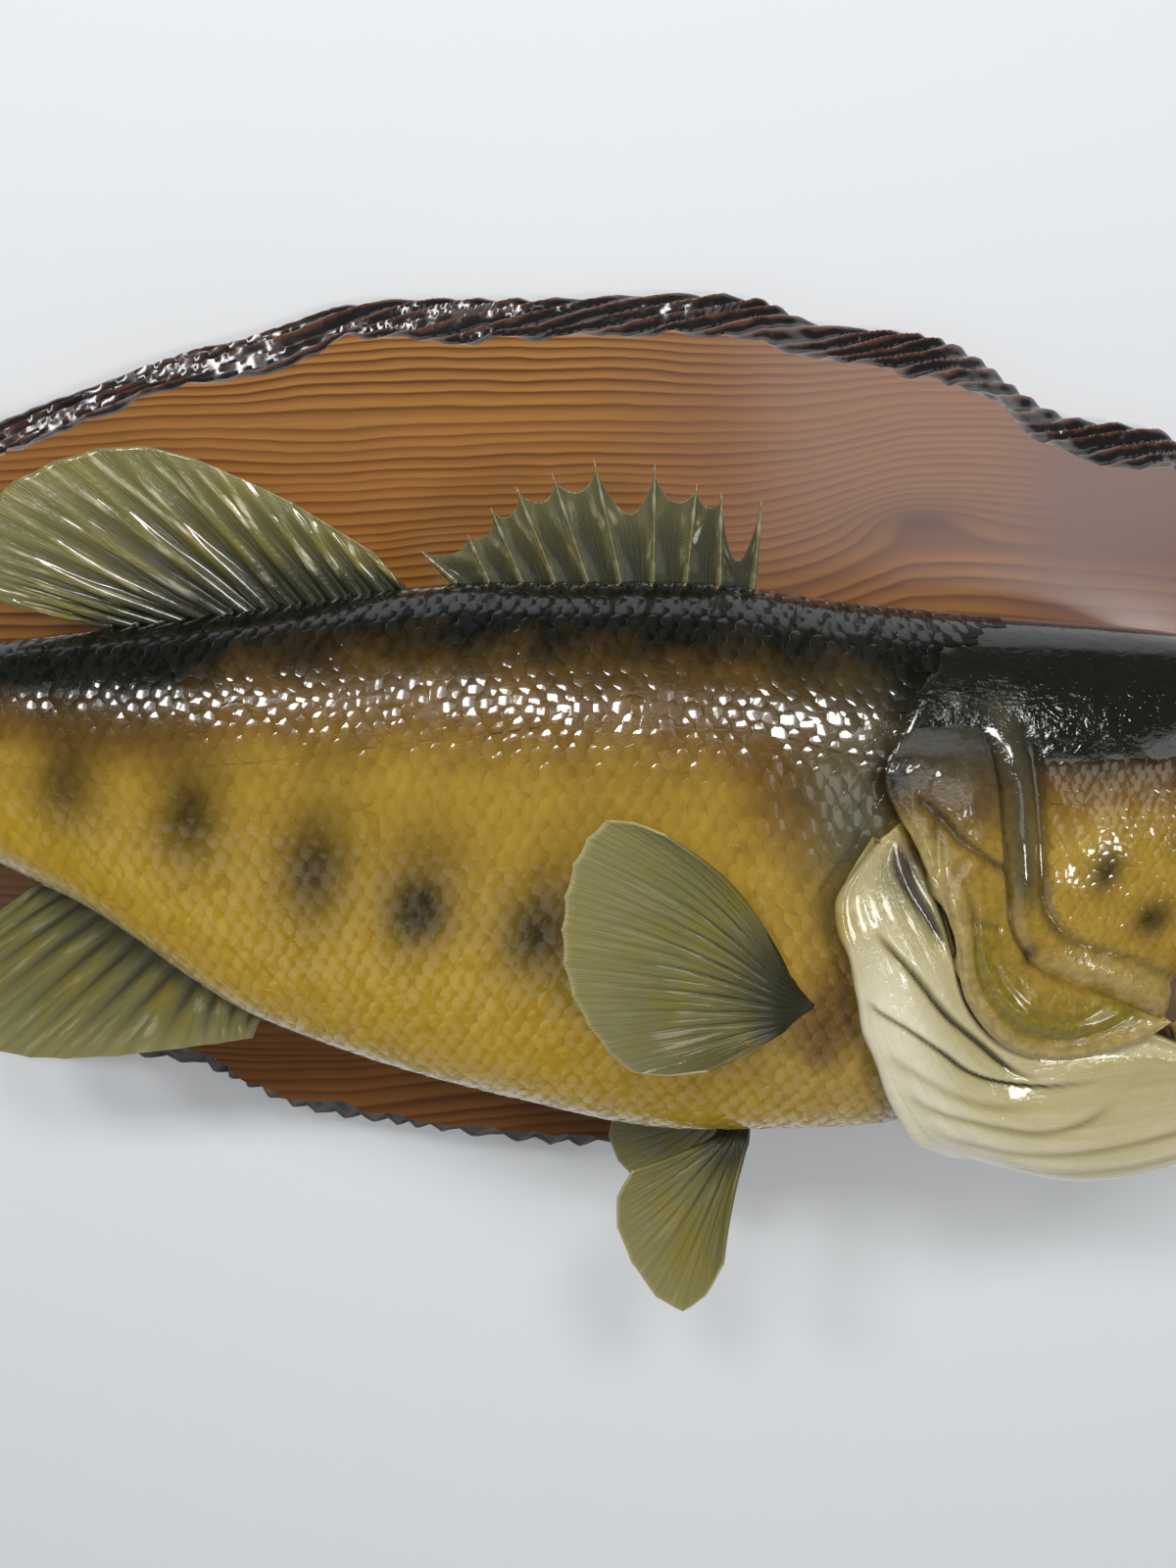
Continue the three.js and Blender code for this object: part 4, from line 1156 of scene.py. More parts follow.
SCALE_LENGTH = 1.9
SCALE_REACH = [0.0, 0.42, 0.66, 0.82, 0.92, 0.975, 1.0]
SCALE_ACROSS = [-1.0, -0.96, -0.72, -0.25, 0.25, 0.72, 0.96, 1.0]
CHEEK_ROW, CHEEK_LIFT = 0.86, 0.1
CHEEK_START, CHEEK_END = 78, 128
FLANK_START = 124
scale_front = through([
    (-115, 150), (12, 150), (22, 161), (30, 157), (38, 151), (46, 139), (52, 124), (60, 118),
])


def unwrap_flank(side, grow, turns, start, end, step, relief=None):
    """The flank's surface by s and by the distance round the body from the lateral line."""
    stations = np.arange(start, end + step, step)
    s, turn = np.meshgrid(stations, turns, indexing="ij")
    s, out, z = section(s, turn, grow)
    points = place(s, side * out, z) / MM
    lengths = np.linalg.norm(np.diff(points, axis=1), axis=2)
    arc = np.concatenate([np.zeros((len(stations), 1)), np.cumsum(lengths, axis=1)], 1)
    front = turns <= math.pi / 2
    zero = np.array([
        np.interp(lateral_line(station), z[i][front], arc[i][front]) for i, station in enumerate(stations)
    ])
    arc -= zero[:, None]
    spread = np.arange(math.floor(arc.min()), math.ceil(arc.max()) + 1, 1.0)
    table = np.stack([
        np.stack([np.interp(spread, around, row[:, axis]) for axis in range(3)], -1)
        for around, row in zip(arc, points)
    ])
    if relief is not None:
        facing = grid_normals(table)
        facing *= side * np.sign(-facing[..., 1].mean())
        lift = relief(SNOUT_X - table[..., 0], table[..., 2])
        table += facing * lift[..., None]
    facing = grid_normals(table)
    if (facing[len(stations) // 3, np.argmin(abs(spread + 30)), 1] > 0) == (side > 0):
        facing = -facing
    low, high = np.array([np.interp([-math.pi / 2, math.pi / 2], turns, around) for around in arc]).T
    return {"s": stations, "a": spread, "points": table, "normals": facing, "low": low, "high": high}


def look_up(table, key, s, a):
    """Reads points or normals of a flank's table between its stations."""
    i = np.clip((s - table["s"][0]) / (table["s"][1] - table["s"][0]), 0, len(table["s"]) - 1.001)
    j = np.clip(a - table["a"][0], 0, len(table["a"]) - 1.001)
    i0, j0 = i.astype(int), j.astype(int)
    fi, fj = (i - i0)[..., None], (j - j0)[..., None]
    grid = table[key]
    near = grid[i0, j0] * (1 - fj) + grid[i0, j0 + 1] * fj
    far = grid[i0 + 1, j0] * (1 - fj) + grid[i0 + 1, j0 + 1] * fj
    return near * (1 - fi) + far * fi


def scale_pattern():
    """One scale: rows from its buried root to its round free edge, with a wall down round it."""
    p, q = np.meshgrid(SCALE_REACH, SCALE_ACROSS, indexing="ij")
    shoulder = 0.42
    wide = np.where(p > shoulder, np.sqrt(np.clip(1 - ((p - shoulder) / (1 - shoulder)) ** 2, 0, 1)), 1)
    wide = np.where(p < shoulder, lerp(0.8, 1, p / shoulder), wide)
    wide = np.maximum(wide, 0.16)
    on_wall = (np.abs(q) > 0.99) | (p > 0.99)
    dome = 0.35 * (1 - (q * wide) ** 2) * smoothstep(p, 0.1, 0.7)
    past_root = smoothstep(p, 0.3, 0.6)
    rolled = np.maximum(smoothstep(p, 0.76, 0.99), smoothstep(np.abs(q), 0.6, 0.98) * past_root)
    height = lerp(-1.6, 0.9, p) + dome - 0.75 * rolled
    height = np.where(on_wall, height - 1.3, height)
    rim = np.maximum(smoothstep(p, 0.8, 1.0), smoothstep(np.abs(q), 0.7, 1.0) * past_root)
    return {"p": p.ravel(), "q": (q * wide).ravel(), "height": height.ravel(), "rim": rim.ravel()}


def cover_with_scales(name, table, roots, pitch, row, lift, seed):
    """Lays one mesh of overlapping scales. roots is an array of (s, a, size)."""
    pattern = scale_pattern()
    reach, across = pattern["p"][None], pattern["q"][None]
    source = np.random.default_rng(seed)
    count = len(roots)
    jitter = source.normal(0, 1, (count, 5))
    size = roots[:, 2:3] * (1 + 0.05 * jitter[:, :1])
    run = (reach - 1) * pitch * SCALE_LENGTH * size
    rise = across * row * 1.10 * size
    tilt = 0.05 * jitter[:, 1:2]
    s = roots[:, :1] + 0.25 * jitter[:, 2:3] + run * np.cos(tilt) - rise * np.sin(tilt)
    a = roots[:, 1:2] + 0.2 * jitter[:, 3:4] + run * np.sin(tilt) + rise * np.cos(tilt)
    root_z = look_up(table, "points", roots[:, 0], roots[:, 1])[:, 2:]
    flatter = 1 - 0.6 * smoothstep(back_line(roots[:, :1]) - root_z, 15, 5)
    lift *= flatter
    height = pattern["height"][None] * lift * (1 + 0.3 * jitter[:, 4:5]) * size
    rock = 0.55 * jitter[:, 1:2] * across + 0.9 * jitter[:, 2:3] * (reach - 0.7)
    rock = rock * lift * flatter
    points = look_up(table, "points", s, a) + look_up(table, "normals", s, a) * (height + rock)[..., None]
    points[..., 1] = np.minimum(points[..., 1], -SLAB_THICKNESS - 0.1)
    points = points.reshape(-1, 3)
    rows, columns = len(SCALE_REACH), len(SCALE_ACROSS)
    index = np.arange(rows * columns).reshape(rows, columns)
    quads = np.stack([index[:-1, :-1], index[:-1, 1:], index[1:, 1:], index[1:, :-1]], -1).reshape(-1, 4)
    faces = (quads[None] + (np.arange(count) * index.size)[:, None, None]).reshape(-1, 4)
    start = points[faces[:, 0]]
    facing = np.cross(points[faces[:, 1]] - start, points[faces[:, 3]] - start)
    up = np.repeat(look_up(table, "normals", roots[:, 0], roots[:, 1]), len(quads), axis=0)
    if np.sum(facing * up) < 0:
        faces = faces[:, ::-1]
    mesh = bpy.data.meshes.new(name)
    mesh.from_pydata((points * MM).tolist(), [], faces.tolist())
    mesh.update()
    piece = bpy.data.objects.new(name, mesh)
    bpy.context.scene.collection.objects.link(piece)
    masks = markings(*fish_measures(points * MM))
    masks["dark"] = masks["dark"] * 0.7
    tone = np.repeat(source.uniform(0, 1, count), index.size)
    mark(piece, reach=np.tile(pattern["p"], count), edge=np.tile(pattern["rim"], count), tone=tone, **masks)
    unwrap_scales(mesh, table, roots, pattern)
    smooth(piece, 35)
    return piece


def unwrap_scales(mesh, table, roots, pattern):
    """Gives each scale a small patch of its own in the bake's UV map, at its place on the flank."""
    patch = 0.003
    places = []
    for k, key, offset in ((0, "s", (pattern["p"] - 0.5) * patch), (1, "a", pattern["q"] * patch / 2)):
        low, high = table[key][0], table[key][-1]
        places.append(0.02 + 0.96 * (roots[:, k : k + 1] - low) / (high - low) + offset[None])
    corner_of = np.zeros(len(mesh.loops), np.int32)
    mesh.loops.foreach_get("vertex_index", corner_of)
    uvs = np.stack([values.ravel() for values in places], -1)[corner_of]
    mesh.uv_layers.new(name="OFBake").data.foreach_set("uv", uvs.astype(np.float32).ravel())


def scale_rows(table, pitch, row, rows, start, end):
    """Rows of places along the body, staggered by half a pitch. Each is (a, s, points)."""
    for k in rows:
        a = k * row
        s = np.arange(start + (k % 2) * pitch / 2, end, pitch)
        yield a, s, look_up(table, "points", s, np.full(len(s), float(a)))


def flank_roots(table, sizes):
    """Where each scale's free tip lies on the flank, and its size, smaller next to the gill."""
    pitch, row = sizes.scale_pitch / MM, sizes.scale_row / MM
    rows = range(int(table["low"].min() / row) - 1, int(table["high"].max() / row) + 2)
    found = []
    for a, s, points in scale_rows(table, pitch, row, rows, FLANK_START, SCALE_END):
        low, high = (np.interp(s, table["s"], table[key]) for key in ("low", "high"))
        front = scale_front(points[:, 2]) + 4
        inside = (a > low - 1) & (a < high + 1) & (s > front) & (points[:, 1] < -SLAB_THICKNESS - 1.5)
        shrink = lerp(0.72, 1.0, smoothstep(s, front, front + 14))
        found += [(where, a, size) for where, size in zip(s[inside], shrink[inside])]
    return np.array(found)


def cheek_roots(table, pitch):
    """Where the cheek's scales lie: not on its rear rib, round the eye or along the lip."""
    found = []
    for a, s, points in scale_rows(table, pitch, pitch * CHEEK_ROW, range(-45, 30), CHEEK_START, CHEEK_END):
        z = points[:, 2]
        from_rib = np.abs(line_distance(s, z, PREOPERCLE))
        from_eye = np.hypot(s - EYE["s"], z - EYE["z"])
        inside = (from_rib > 6.5) & (s < 127) & (z < 16) & (z > -40 + (126 - s) * 0.1) & (from_eye > 24)
        inside &= s > CHEEK_START + 0.25 * np.maximum(0, -z - 20)
        found += [(where, a, 1.0) for where in s[inside]]
    return np.array(found)


def build_coat(kind, made, table_of, roots_of, measures, seed):
    """Scales on both sides. measures are their pitch, the distance of their rows and their lift."""
    for side, name in ((1, "right"), (-1, "left")):
        table = table_of(side)
        piece = cover_with_scales(f"{kind}_{name}", table, roots_of(table), *measures, seed + side)
        give(piece, made)
        finished(piece, "bass_skin")


def build_scales(sizes, colours):
    coat = sizes.coat_depth / MM
    pitch, row, lift = sizes.scale_pitch / MM, sizes.scale_row / MM, sizes.scale_lift / MM
    made = scale_material(colours)
    turns = np.linspace(-math.pi / 2 - 0.4, math.pi / 2 + 0.4, 360)
    build_coat(
        "scales", made, lambda side: unwrap_flank(side, -coat * 0.75, turns, start=112, end=492, step=2.0),
        lambda table: flank_roots(table, sizes), (pitch, row, lift), 31,
    )
    pitch = sizes.cheek_pitch / MM
    turns = np.linspace(-math.pi / 2 + 0.2, math.pi / 2, 300)
    build_coat(
        "cheek_scales", made,
        lambda side: unwrap_flank(side, -coat * 0.9, turns, start=70, end=140, step=1.0, relief=head_relief),
        lambda table: cheek_roots(table, pitch), (pitch, pitch * CHEEK_ROW, CHEEK_LIFT), 71,
    )


# ---------------------------------------------------------------- fins

SPINY_DORSAL = {
    "start": 194, "end": 281,
    "tips": [191.5, 203, 210, 222, 239.5, 251.5, 262, 269.5, 276.5, 290.5],
    "heights": [24, 25, 27, 32.5, 34, 30, 26.5, 20.5, 13, 9],
    "webs": [0.28, 0.86, 0.8, 0.6, 0.84, 0.84, 0.84, 0.8, 0.75],
}
SOFT_DORSAL_TIPS = [(304, 0, 72.5), (334, 0, 91), (370, 0, 104), (404, 0, 96), (424, 0, 76), (413, 0, 60)]
ANAL_TIPS = [(352, 0, -79), (366, 0, -81), (410, 0, -84.5), (434, 0, -80), (448, 0, -63), (429, 0, -36)]
TAIL_FIN = {"rays": 17, "middle": 18, "half_spread": 68, "fork": 17, "lobe": 0.8, "corner": 20}
RIGHT_PECTORAL = {
    "side": 1, "root_out": 47.5, "tip_out": 60, "thick": 3.0, "bow": (0.09, -0.02), "pleat": 1.0,
    "murk": 0.35,
    "root": [(190, 0, -42), (188.5, 0, -49), (191, 0, -57)],
    "tips": [(224, 0, 2.5), (238, 0, 6.5), (246.5, 0, -3), (250.5, 0, -19), (250, 0, -36), (243, 0, -52),
             (232, 0, -63.5), (213, 0, -63)],
}
LEFT_PECTORAL = {
    "side": -1, "root_out": 35, "tip_out": 35.5, "thick": 1.6, "bow": (0.05, -0.02),
    "root": [(194, 0, -74), (191, 0, -79), (190, 0, -86)],
    "tips": [(246, 0, -74), (253, 0, -84), (252, 0, -99), (244, 0, -112), (231, 0, -122), (214, 0, -126),
             (203, 0, -120)],
}
RAY_COLUMNS = 14
PELVIC_ROOT = [(194, 0, -109), (198, 0, -110), (204, 0, -110.5)]
RIGHT_PELVIC = {
    "side": 1, "root_out": 9, "tip_out": 24, "thick": 2.4, "bow": (0.03, -0.03), "root": PELVIC_ROOT,
    "tips": [(204, 0, -146), (211, 0, -159), (219, 0, -163), (229, 0, -152), (236, 0, -137),
             (237, 0, -125), (232, 0, -114)],
}
LEFT_PELVIC = {
    "side": -1, "root_out": 9, "tip_out": 22, "thick": 2.4, "bow": (0.03, -0.03), "root": PELVIC_ROOT,
    "tips": [(206, 0, -140), (213, 0, -148), (222, 0, -149), (232, 0, -142), (238, 0, -131),
             (237, 0, -121), (231, 0, -113)],
}


def fin_material(colours):
    """Olive webs with paler rays, darker at the root. The grooves between the rays get painted shade, and the
    rays of the glossy fins painted highlight streaks.
    """
    made, n, shader = material("Bass fin", **VARNISH)
    ray, reach, hem = n.attribute("ray"), n.attribute("reach"), n.attribute("hem")
    here = n.position()
    patches = n.noise(here, 75, 4, 0.6, 0.3)
    olive = n.mix(n.range(patches, 0.42, 0.68), colours.fin, colours.fin_yellow)
    paler = n.mix(n.range(reach, 0.55, 1.0, 0.0, 0.45), olive, colours.fin_pale)
    root = n.range(reach, 0.34, 0.02)
    # Painted shade in the grooves between the rays, stronger towards the root.
    shadow = n.times(n.minus(1.0, ray), n.range(reach, 1.0, 0.1, 0.3, 0.95))
    dark = n.math("MAXIMUM", n.times(root, 0.75), shadow, clamp=True)
    base = n.mix(dark, paler, colours.fin_dark)
    base = n.mix(n.times(n.attribute("murk"), 0.85), base, colours.fin_dark)
    base = n.mix(n.times(hem, 0.6), base, colours.fin_hem)
    fibres = n.combine(n.times(n.attribute("across"), 9.0), n.times(reach, 1.4))
    # painted_glint: pale streaks painted as highlights along the rays of the glossy fins.
    painted_glint = n.combine(n.times(n.attribute("across"), 2.3), n.times(reach, 2.2))
    painted_glint = n.times(n.range(n.noise(painted_glint, 1.0, 3, 0.6), 0.5, 0.68), n.range(ray, 0.55, 0.95))
    painted_glint = n.times(n.times(painted_glint, n.range(reach, 0.08, 0.25)), n.attribute("gloss"))
    base = n.mix(n.times(painted_glint, 0.75), base, colours.membrane)
    n.feed(base, shader["Base Color"])
    joints = n.times(n.math("SINE", n.times(reach, 150.0)), 0.05)
    height = n.times_plus(n.noise(fibres, 1.6, 3, 0.6), 1.0, n.times(joints, ray))
    n.feed(n.bump(height, 0.0006, 0.8), shader["Normal"])
    dry = n.times_plus(n.attribute("gloss"), -0.3, 0.3)
    n.feed(n.plus(n.range(patches, 0.3, 0.7, 0.14, 0.28), dry), shader["Roughness"])
    n.feed(n.attribute("gloss"), shader["Coat Weight"])
    return made


def build_fin(
    name, roots, tips, thick, tip_thick=0.7, dips=None, bow=(0.0, 0.0), side=1, pleat=0.5, bury=0.07, rows=46,
    murk=np.zeros_like, root_murk=0.3, hem=1.0, banded=0.0, gloss=1.0, dive=0.0,
):
    """A fin between two lines of ray ends, given as (s, out, z) for each ray.

    Its rays stand out from a thin web where banded is 0. Where it is 1 they fill the fin as
    flat bands with fine grooves between them, which fork towards the edge. murk is how dark
    the web is, for each place across the fin. The root bends into the body by dive.
    """
    roots, tips = np.array(roots, float), np.array(tips, float)
    gaps = len(roots) - 1
    across = np.linspace(0, gaps, gaps * RAY_COLUMNS + 1)
    root, tip = along(roots, across / gaps), along(tips, across / gaps)
    if dips is not None:
        tip = np.stack([np.interp(across, np.arange(gaps + 1), tips[:, k]) for k in range(3)], -1)
    phase = across - np.floor(across)
    dip = np.full(gaps, 0.012) if dips is None else np.array(dips, float)
    gap_dip = dip[np.minimum(np.floor(across).astype(int), gaps - 1)]
    reach_share = 1 - gap_dip * (4 * phase * (1 - phase)) ** 0.8
    t = np.linspace(-bury, 1, rows)
    w = t[:, None] * np.where(t[:, None] > 0, reach_share[None], 1)
    sag = lerp(bow[0], bow[1], across / gaps)[None] * np.sin(math.pi * np.clip(w, 0, 1))
    s = lerp(root[None, :, 0], tip[None, :, 0], w) + sag * (root[:, 2] - tip[:, 2])[None]
    z = lerp(root[None, :, 2], tip[None, :, 2], w) + sag * (tip[:, 0] - root[:, 0])[None]
    out = lerp(root[None, :, 1], tip[None, :, 1], w)
    reach = np.clip(t, 0, 1)[:, None] + 0 * w
    shift = 0.16 * wander(across[None] * 0.9, reach * 2.2, 3 + len(name)) * smoothstep(reach, 0, 0.4)
    ray = lerp(standing_rays(phase[None] + shift, reach), banded_rays(phase[None] + shift, reach), banded)
    calm = banded * smoothstep(reach, 0.04, 0.5)
    depth = lerp(0.66, 0.14, calm)
    shape = (1 - depth + depth * ray) * lerp(1.0, tip_thick / thick, np.clip(t, 0, 1))[:, None]
    wave = pleat * (ray - 0.5) * smoothstep(reach, 1.0, 0.15) * (1 - 0.95 * calm)
    flutter = wander(across[None] * lerp(1.3, 0.5, banded), reach * lerp(4, 2, banded), len(name))
    flutter = 0.6 * flutter * smoothstep(reach, 0.1, 0.9) * pleat
    out += side * (wave + flutter - dive * smoothstep(t, 0.12, -bury)[:, None])
    piece = sheet(name, place(s, out, z), (0, -side, 0))
    edge = smoothstep(reach, 0.975, 1.0)
    dark = np.maximum(murk(across)[None], root_murk * smoothstep(reach, 0.5, 0.06))
    mark(piece, ray=ray, reach=reach, across=across[None] + 0 * w, hem=edge * hem, murk=dark, gloss=gloss)
    thicken(piece, thick * MM, shape, offset=0.0)
    return piece


def standing_rays(phase, reach):
    """Narrow rays with a web between them. Each forks half way out."""
    phase = phase - np.floor(phase)
    split = smoothstep(reach, 0.35, 0.95) * 0.27
    from_ray = np.abs(np.minimum(phase, 1 - phase) - split)
    return ridge(from_ray, lerp(0.26, 0.13, smoothstep(reach, 0.05, 0.7)))


def banded_rays(phase, reach):
    """Flat rays side by side, with a groove along each edge and finer ones where they fork."""
    phase = phase - np.floor(phase)
    centre = np.minimum(phase, 1 - phase)
    groove = ridge(centre - 0.5, lerp(0.22, 0.08, smoothstep(reach, 0, 0.6)))
    groove *= lerp(1, 0.55, smoothstep(reach, 0.2, 0.95))
    fork = 0.6 * ridge(centre, 0.07) * smoothstep(reach, 0.3, 0.55)
    finer = 0.42 * ridge(centre - 0.25, 0.06) * smoothstep(reach, 0.55, 0.8)
    return 1 - np.maximum(groove, np.maximum(fork, finer))


def add_spines(fin, spines, thick):
    """Bony spines along the front of a fin, from root to tip, joined to its web."""
    parts = [fin]
    for root, tip in spines:
        root, tip = np.array(root, float), np.array(tip, float)
        u, turn = rounds(np.concatenate([[-0.1], np.linspace(-0.1, 1, 16), [1.0]]), 10)
        axis = tip - root
        side_way = np.array([axis[2], 0, -axis[0]]) / np.linalg.norm(axis)
        radius = thick * (1 - np.clip(u, 0, 1)) ** 0.75 * 0.5 + 0.12
        radius[0] = radius[-1] = 0
        ring = root + axis * u[..., None] + side_way * (radius * np.cos(turn))[..., None]
        ring[..., 1] += radius * np.sin(turn)
        spine = hull("spine", place(*np.moveaxis(ring, -1, 0)))
        reach = 0.3 + 0.6 * np.linspace(0, 1, len(spine.data.vertices))
        mark(spine, ray=1, reach=reach, across=0, hem=0, murk=0.6, gloss=1)
        parts.append(spine)
    return join(parts, fin.name)


def flat_rays(start, end, tips, line, lift, rays):
    """Roots along the back or keel line and tips along a round outline."""
    s = np.linspace(start, end, rays)
    roots = np.stack([s, 0 * s, line(s) + lift], -1)
    return roots, along(tips, np.linspace(0, 1, rays))


def build_fins(colours):
    made = fin_material(colours)
    fins = {}
    spec = SPINY_DORSAL
    s = np.linspace(spec["start"], spec["end"], len(spec["tips"]))
    roots = np.stack([s, 0 * s, back_line(s) + GAP], -1)
    tips = np.stack([np.array(spec["tips"]), 0 * s, roots[:, 2] + np.array(spec["heights"])], -1)
    low_tips = lerp(roots, tips, 0.93)
    web = build_fin(
        "spiny", roots, low_tips, thick=1.4, tip_thick=0.6, dips=[1 - w for w in spec["webs"]], pleat=0.6,
        bury=0.1, murk=lambda across: lerp(0.98, 0.7, smoothstep(across, 0, 3.5)), hem=0.3, gloss=0.3,
    )
    fins["dorsal_fin_spiny"] = add_spines(web, zip(roots, tips), thick=2.4)
    roots, tips = flat_rays(296, 385, SOFT_DORSAL_TIPS, back_line, GAP, 14)
    fins["dorsal_fin_soft"] = build_fin(
        "soft", roots, tips, thick=3.2, pleat=1.3, root_murk=1.0, banded=0.15, hem=0.4
    )
    roots, tips = flat_rays(348, 412, ANAL_TIPS, keel_line, -GAP, 13)
    fins["anal_fin"] = build_fin("anal", roots, tips, thick=3.0, pleat=0.8, banded=0.6, gloss=0.3)
    fins["tail_fin"] = tail_fin()
    for name, spec, rays in (
        ("pectoral_fin_right", RIGHT_PECTORAL, 14), ("pectoral_fin_left", LEFT_PECTORAL, 14),
        ("pelvic_fin_right", RIGHT_PELVIC, 8), ("pelvic_fin_left", LEFT_PELVIC, 8),
    ):
        fins[name] = paired_fin(name, spec, rays)
    for name, fin in fins.items():
        fin.name = name + "_dressed"
        fin.data.name = fin.name
        give(fin, made)
        smooth(fin)
        finished(fin, "fin_web", name)


def paired_fin(name, spec, rays):
    """A pectoral or pelvic fin, whose root bends into the flank."""
    u = np.linspace(0, 1, rays)
    roots, tips = along(spec["root"], u), along(spec["tips"], u)
    roots[:, 1], tips[:, 1] = spec["side"] * spec["root_out"], spec["side"] * spec["tip_out"]
    return build_fin(
        name, roots, tips, spec["thick"], bow=spec["bow"], side=spec["side"], pleat=spec.get("pleat", 0.6),
        bury=0.1, rows=60, murk=lambda across: spec.get("murk", 0) * smoothstep(across, 6, 12),
        root_murk=0.95, banded=1.0, gloss=0.12, dive=4.5,
    )


def tail_fin():
    """The tail fin, whose two lobes stand back from its round corners."""
    spec = TAIL_FIN
    top, bottom = float(back_line(TAIL_BASE)) - 1, float(keel_line(TAIL_BASE)) + 1
    u = np.linspace(-1, 1, spec["rays"])
    across = np.minimum(np.abs(u) / spec["lobe"], 1)
    past = np.maximum(np.abs(u) - spec["lobe"], 0) / (1 - spec["lobe"])
    tip_s = TOTAL_LENGTH - spec["fork"] * (1 - np.sin(across * math.pi / 2) ** 2) - spec["corner"] * past**2
    tip_z = spec["middle"] + spec["half_spread"] * np.sin(u * math.pi / 2.1)
    roots = np.stack([np.full(len(u), TAIL_BASE + GAP), 0 * u, lerp(bottom, top, (u + 1) / 2)], -1)
    tips = np.stack([tip_s, 0 * u, tip_z], -1)
    return build_fin(
        "tail", roots, tips, thick=5.5, tip_thick=0.8, pleat=0.8, bury=0.06, rows=60, banded=0.3
    )


# ---------------------------------------------------------------- eyes and tongue


def eye_material(colours, centre):
    """Rings round the eye's axis. The ramp ends at a ninetieth of a metre."""
    made, n, shader = material("Glass eye", Coat_Weight=1.0, Coat_Roughness=0.02, Roughness=0.25)
    flat = n.vector("MULTIPLY", n.vector("SUBTRACT", n.position(), centre), (1, 0, 1))
    streaks = n.noise(n.vector("NORMALIZE", flat), 7, 4, 0.7)
    radius = n.times_plus(streaks, 0.0012, n.vector("LENGTH", flat))
    ring = n.ramp(n.times(radius, 90), [
        (0.0, paint("#050403")), (0.423, paint("#070503")), (0.468, paint("#a9842c")),
        (0.576, colours.iris), (0.774, paint("#4d2f10")), (0.945, paint("#0d0a07")),
    ])
    n.feed(ring, shader["Base Color"])
    return made


def build_eyes(colours):
    for side, name in ((1, "eye_right"), (-1, "eye_left")):
        out = float(half_width_at(EYE["s"], EYE["z"])) - EYE["sunk"]
        centre = Vector(place(EYE["s"], side * out, EYE["z"]))
        deselect()
        bpy.ops.mesh.primitive_uv_sphere_add(
            segments=64, ring_count=40, radius=EYE["radius"] * MM, location=centre,
            rotation=(math.pi / 2, 0, 0),
        )
        ball = bpy.context.object
        ball.name = name + "_glass"
        bpy.ops.object.transform_apply(location=True, rotation=True, scale=True)
        points = corners(ball)
        offset = points - np.array(centre)
        facing = -side * offset[:, 1] / (EYE["radius"] * MM)
        from_axis = np.hypot(offset[:, 0], offset[:, 2]) / MM
        bulge = 0.7 * np.exp(-((from_axis / 4.5) ** 2)) * (facing > 0)
        points[:, 1] += -side * bulge * MM * 0.6
        move_corners(ball, points)
        give(ball, eye_material(colours, tuple(centre)))
        smooth(ball)
        finished(ball, "glass_eye", name)


def tongue_material(colours):
    made, n, shader = material("Mouth lining", Coat_Weight=0.8, Coat_Roughness=0.08, Roughness=0.3)
    grain = n.noise(n.position(), 380, 4, 0.6)
    patches = n.noise(n.position(), 70, 3, 0.5)
    n.feed(n.mix(n.range(patches, 0.3, 0.75), colours.mouth, paint("#b98a72")), shader["Base Color"])
    n.feed(n.bump(n.plus(grain, n.cells(n.position(), 700)), 0.0004, 0.7), shader["Normal"])
    return made


def build_tongue(colours):
    wide = through([(1.5, 0.5), (4, 4.5), (8, 8), (24, 12), (66, 13)])
    stations = np.concatenate([[1.5], np.linspace(1.5, 66, 48), [66]])
    s, turn = rounds(stations, 40)
    groove = 1.1 * ridge(np.cos(turn), 0.28) * (np.sin(turn) > 0) * smoothstep(s, 4, 16)
    floor = lip_height(s) - mouth_depth(s)
    size = np.ones((len(stations), 1))
    size[0] = size[-1] = 0
    out = wide(s) * np.cos(turn) * size
    z = floor + 4 + (4.3 * np.sin(turn) - groove) * size
    tongue = hull("tongue_dressed", place(s, out, z))
    give(tongue, tongue_material(colours))
    smooth(tongue)
    return finished(tongue, "mouth_lining", "tongue")


# ---------------------------------------------------------------- slab

SLAB_OUTLINE = [
    (-170, 120), (-124, 135.5), (-80, 146), (-54, 153), (10, 153.5), (78, 152.5), (98, 144.5), (143, 137.5),
    (180, 114.5), (221, 105.5), (240, 84), (248, 40), (244, -10), (228, -58), (186, -106),
    (130, -133), (72, -148), (25, -157), (-58, -146), (-95, -138), (-131, -120), (-204, -108),
    (-240, -86), (-258, -42), (-260, 8), (-246, 60), (-212, 100),
]
HANGER_WIDTH, HANGER_HEIGHT, HANGER_POCKET, HANGER_Z = 62, 15, 3, 112
KNOT = (131, 78)
RIM_ROWS, RIM_STEPS = 34, 1500
RINGS_PER_METRE = 262.0


def slab_outline(count):
    """Even steps round the slab's edge, each with the direction into the wood."""
    points = along([(x, 0, z) for x, z in SLAB_OUTLINE], np.linspace(0, 1, 6001), closed=True)
    travelled = np.concatenate([[0], np.cumsum(np.linalg.norm(np.diff(points, axis=0), axis=1))])
    even = np.linspace(0, travelled[-1], count + 1)[:-1]
    edge = np.stack([np.interp(even, travelled, points[:, k]) for k in range(3)], -1)
    forward = np.roll(edge, -1, 0) - np.roll(edge, 1, 0)
    inward = np.stack([forward[:, 2], 0 * even, -forward[:, 0]], -1)
    return edge, inward / np.linalg.norm(inward, axis=1, keepdims=True), even


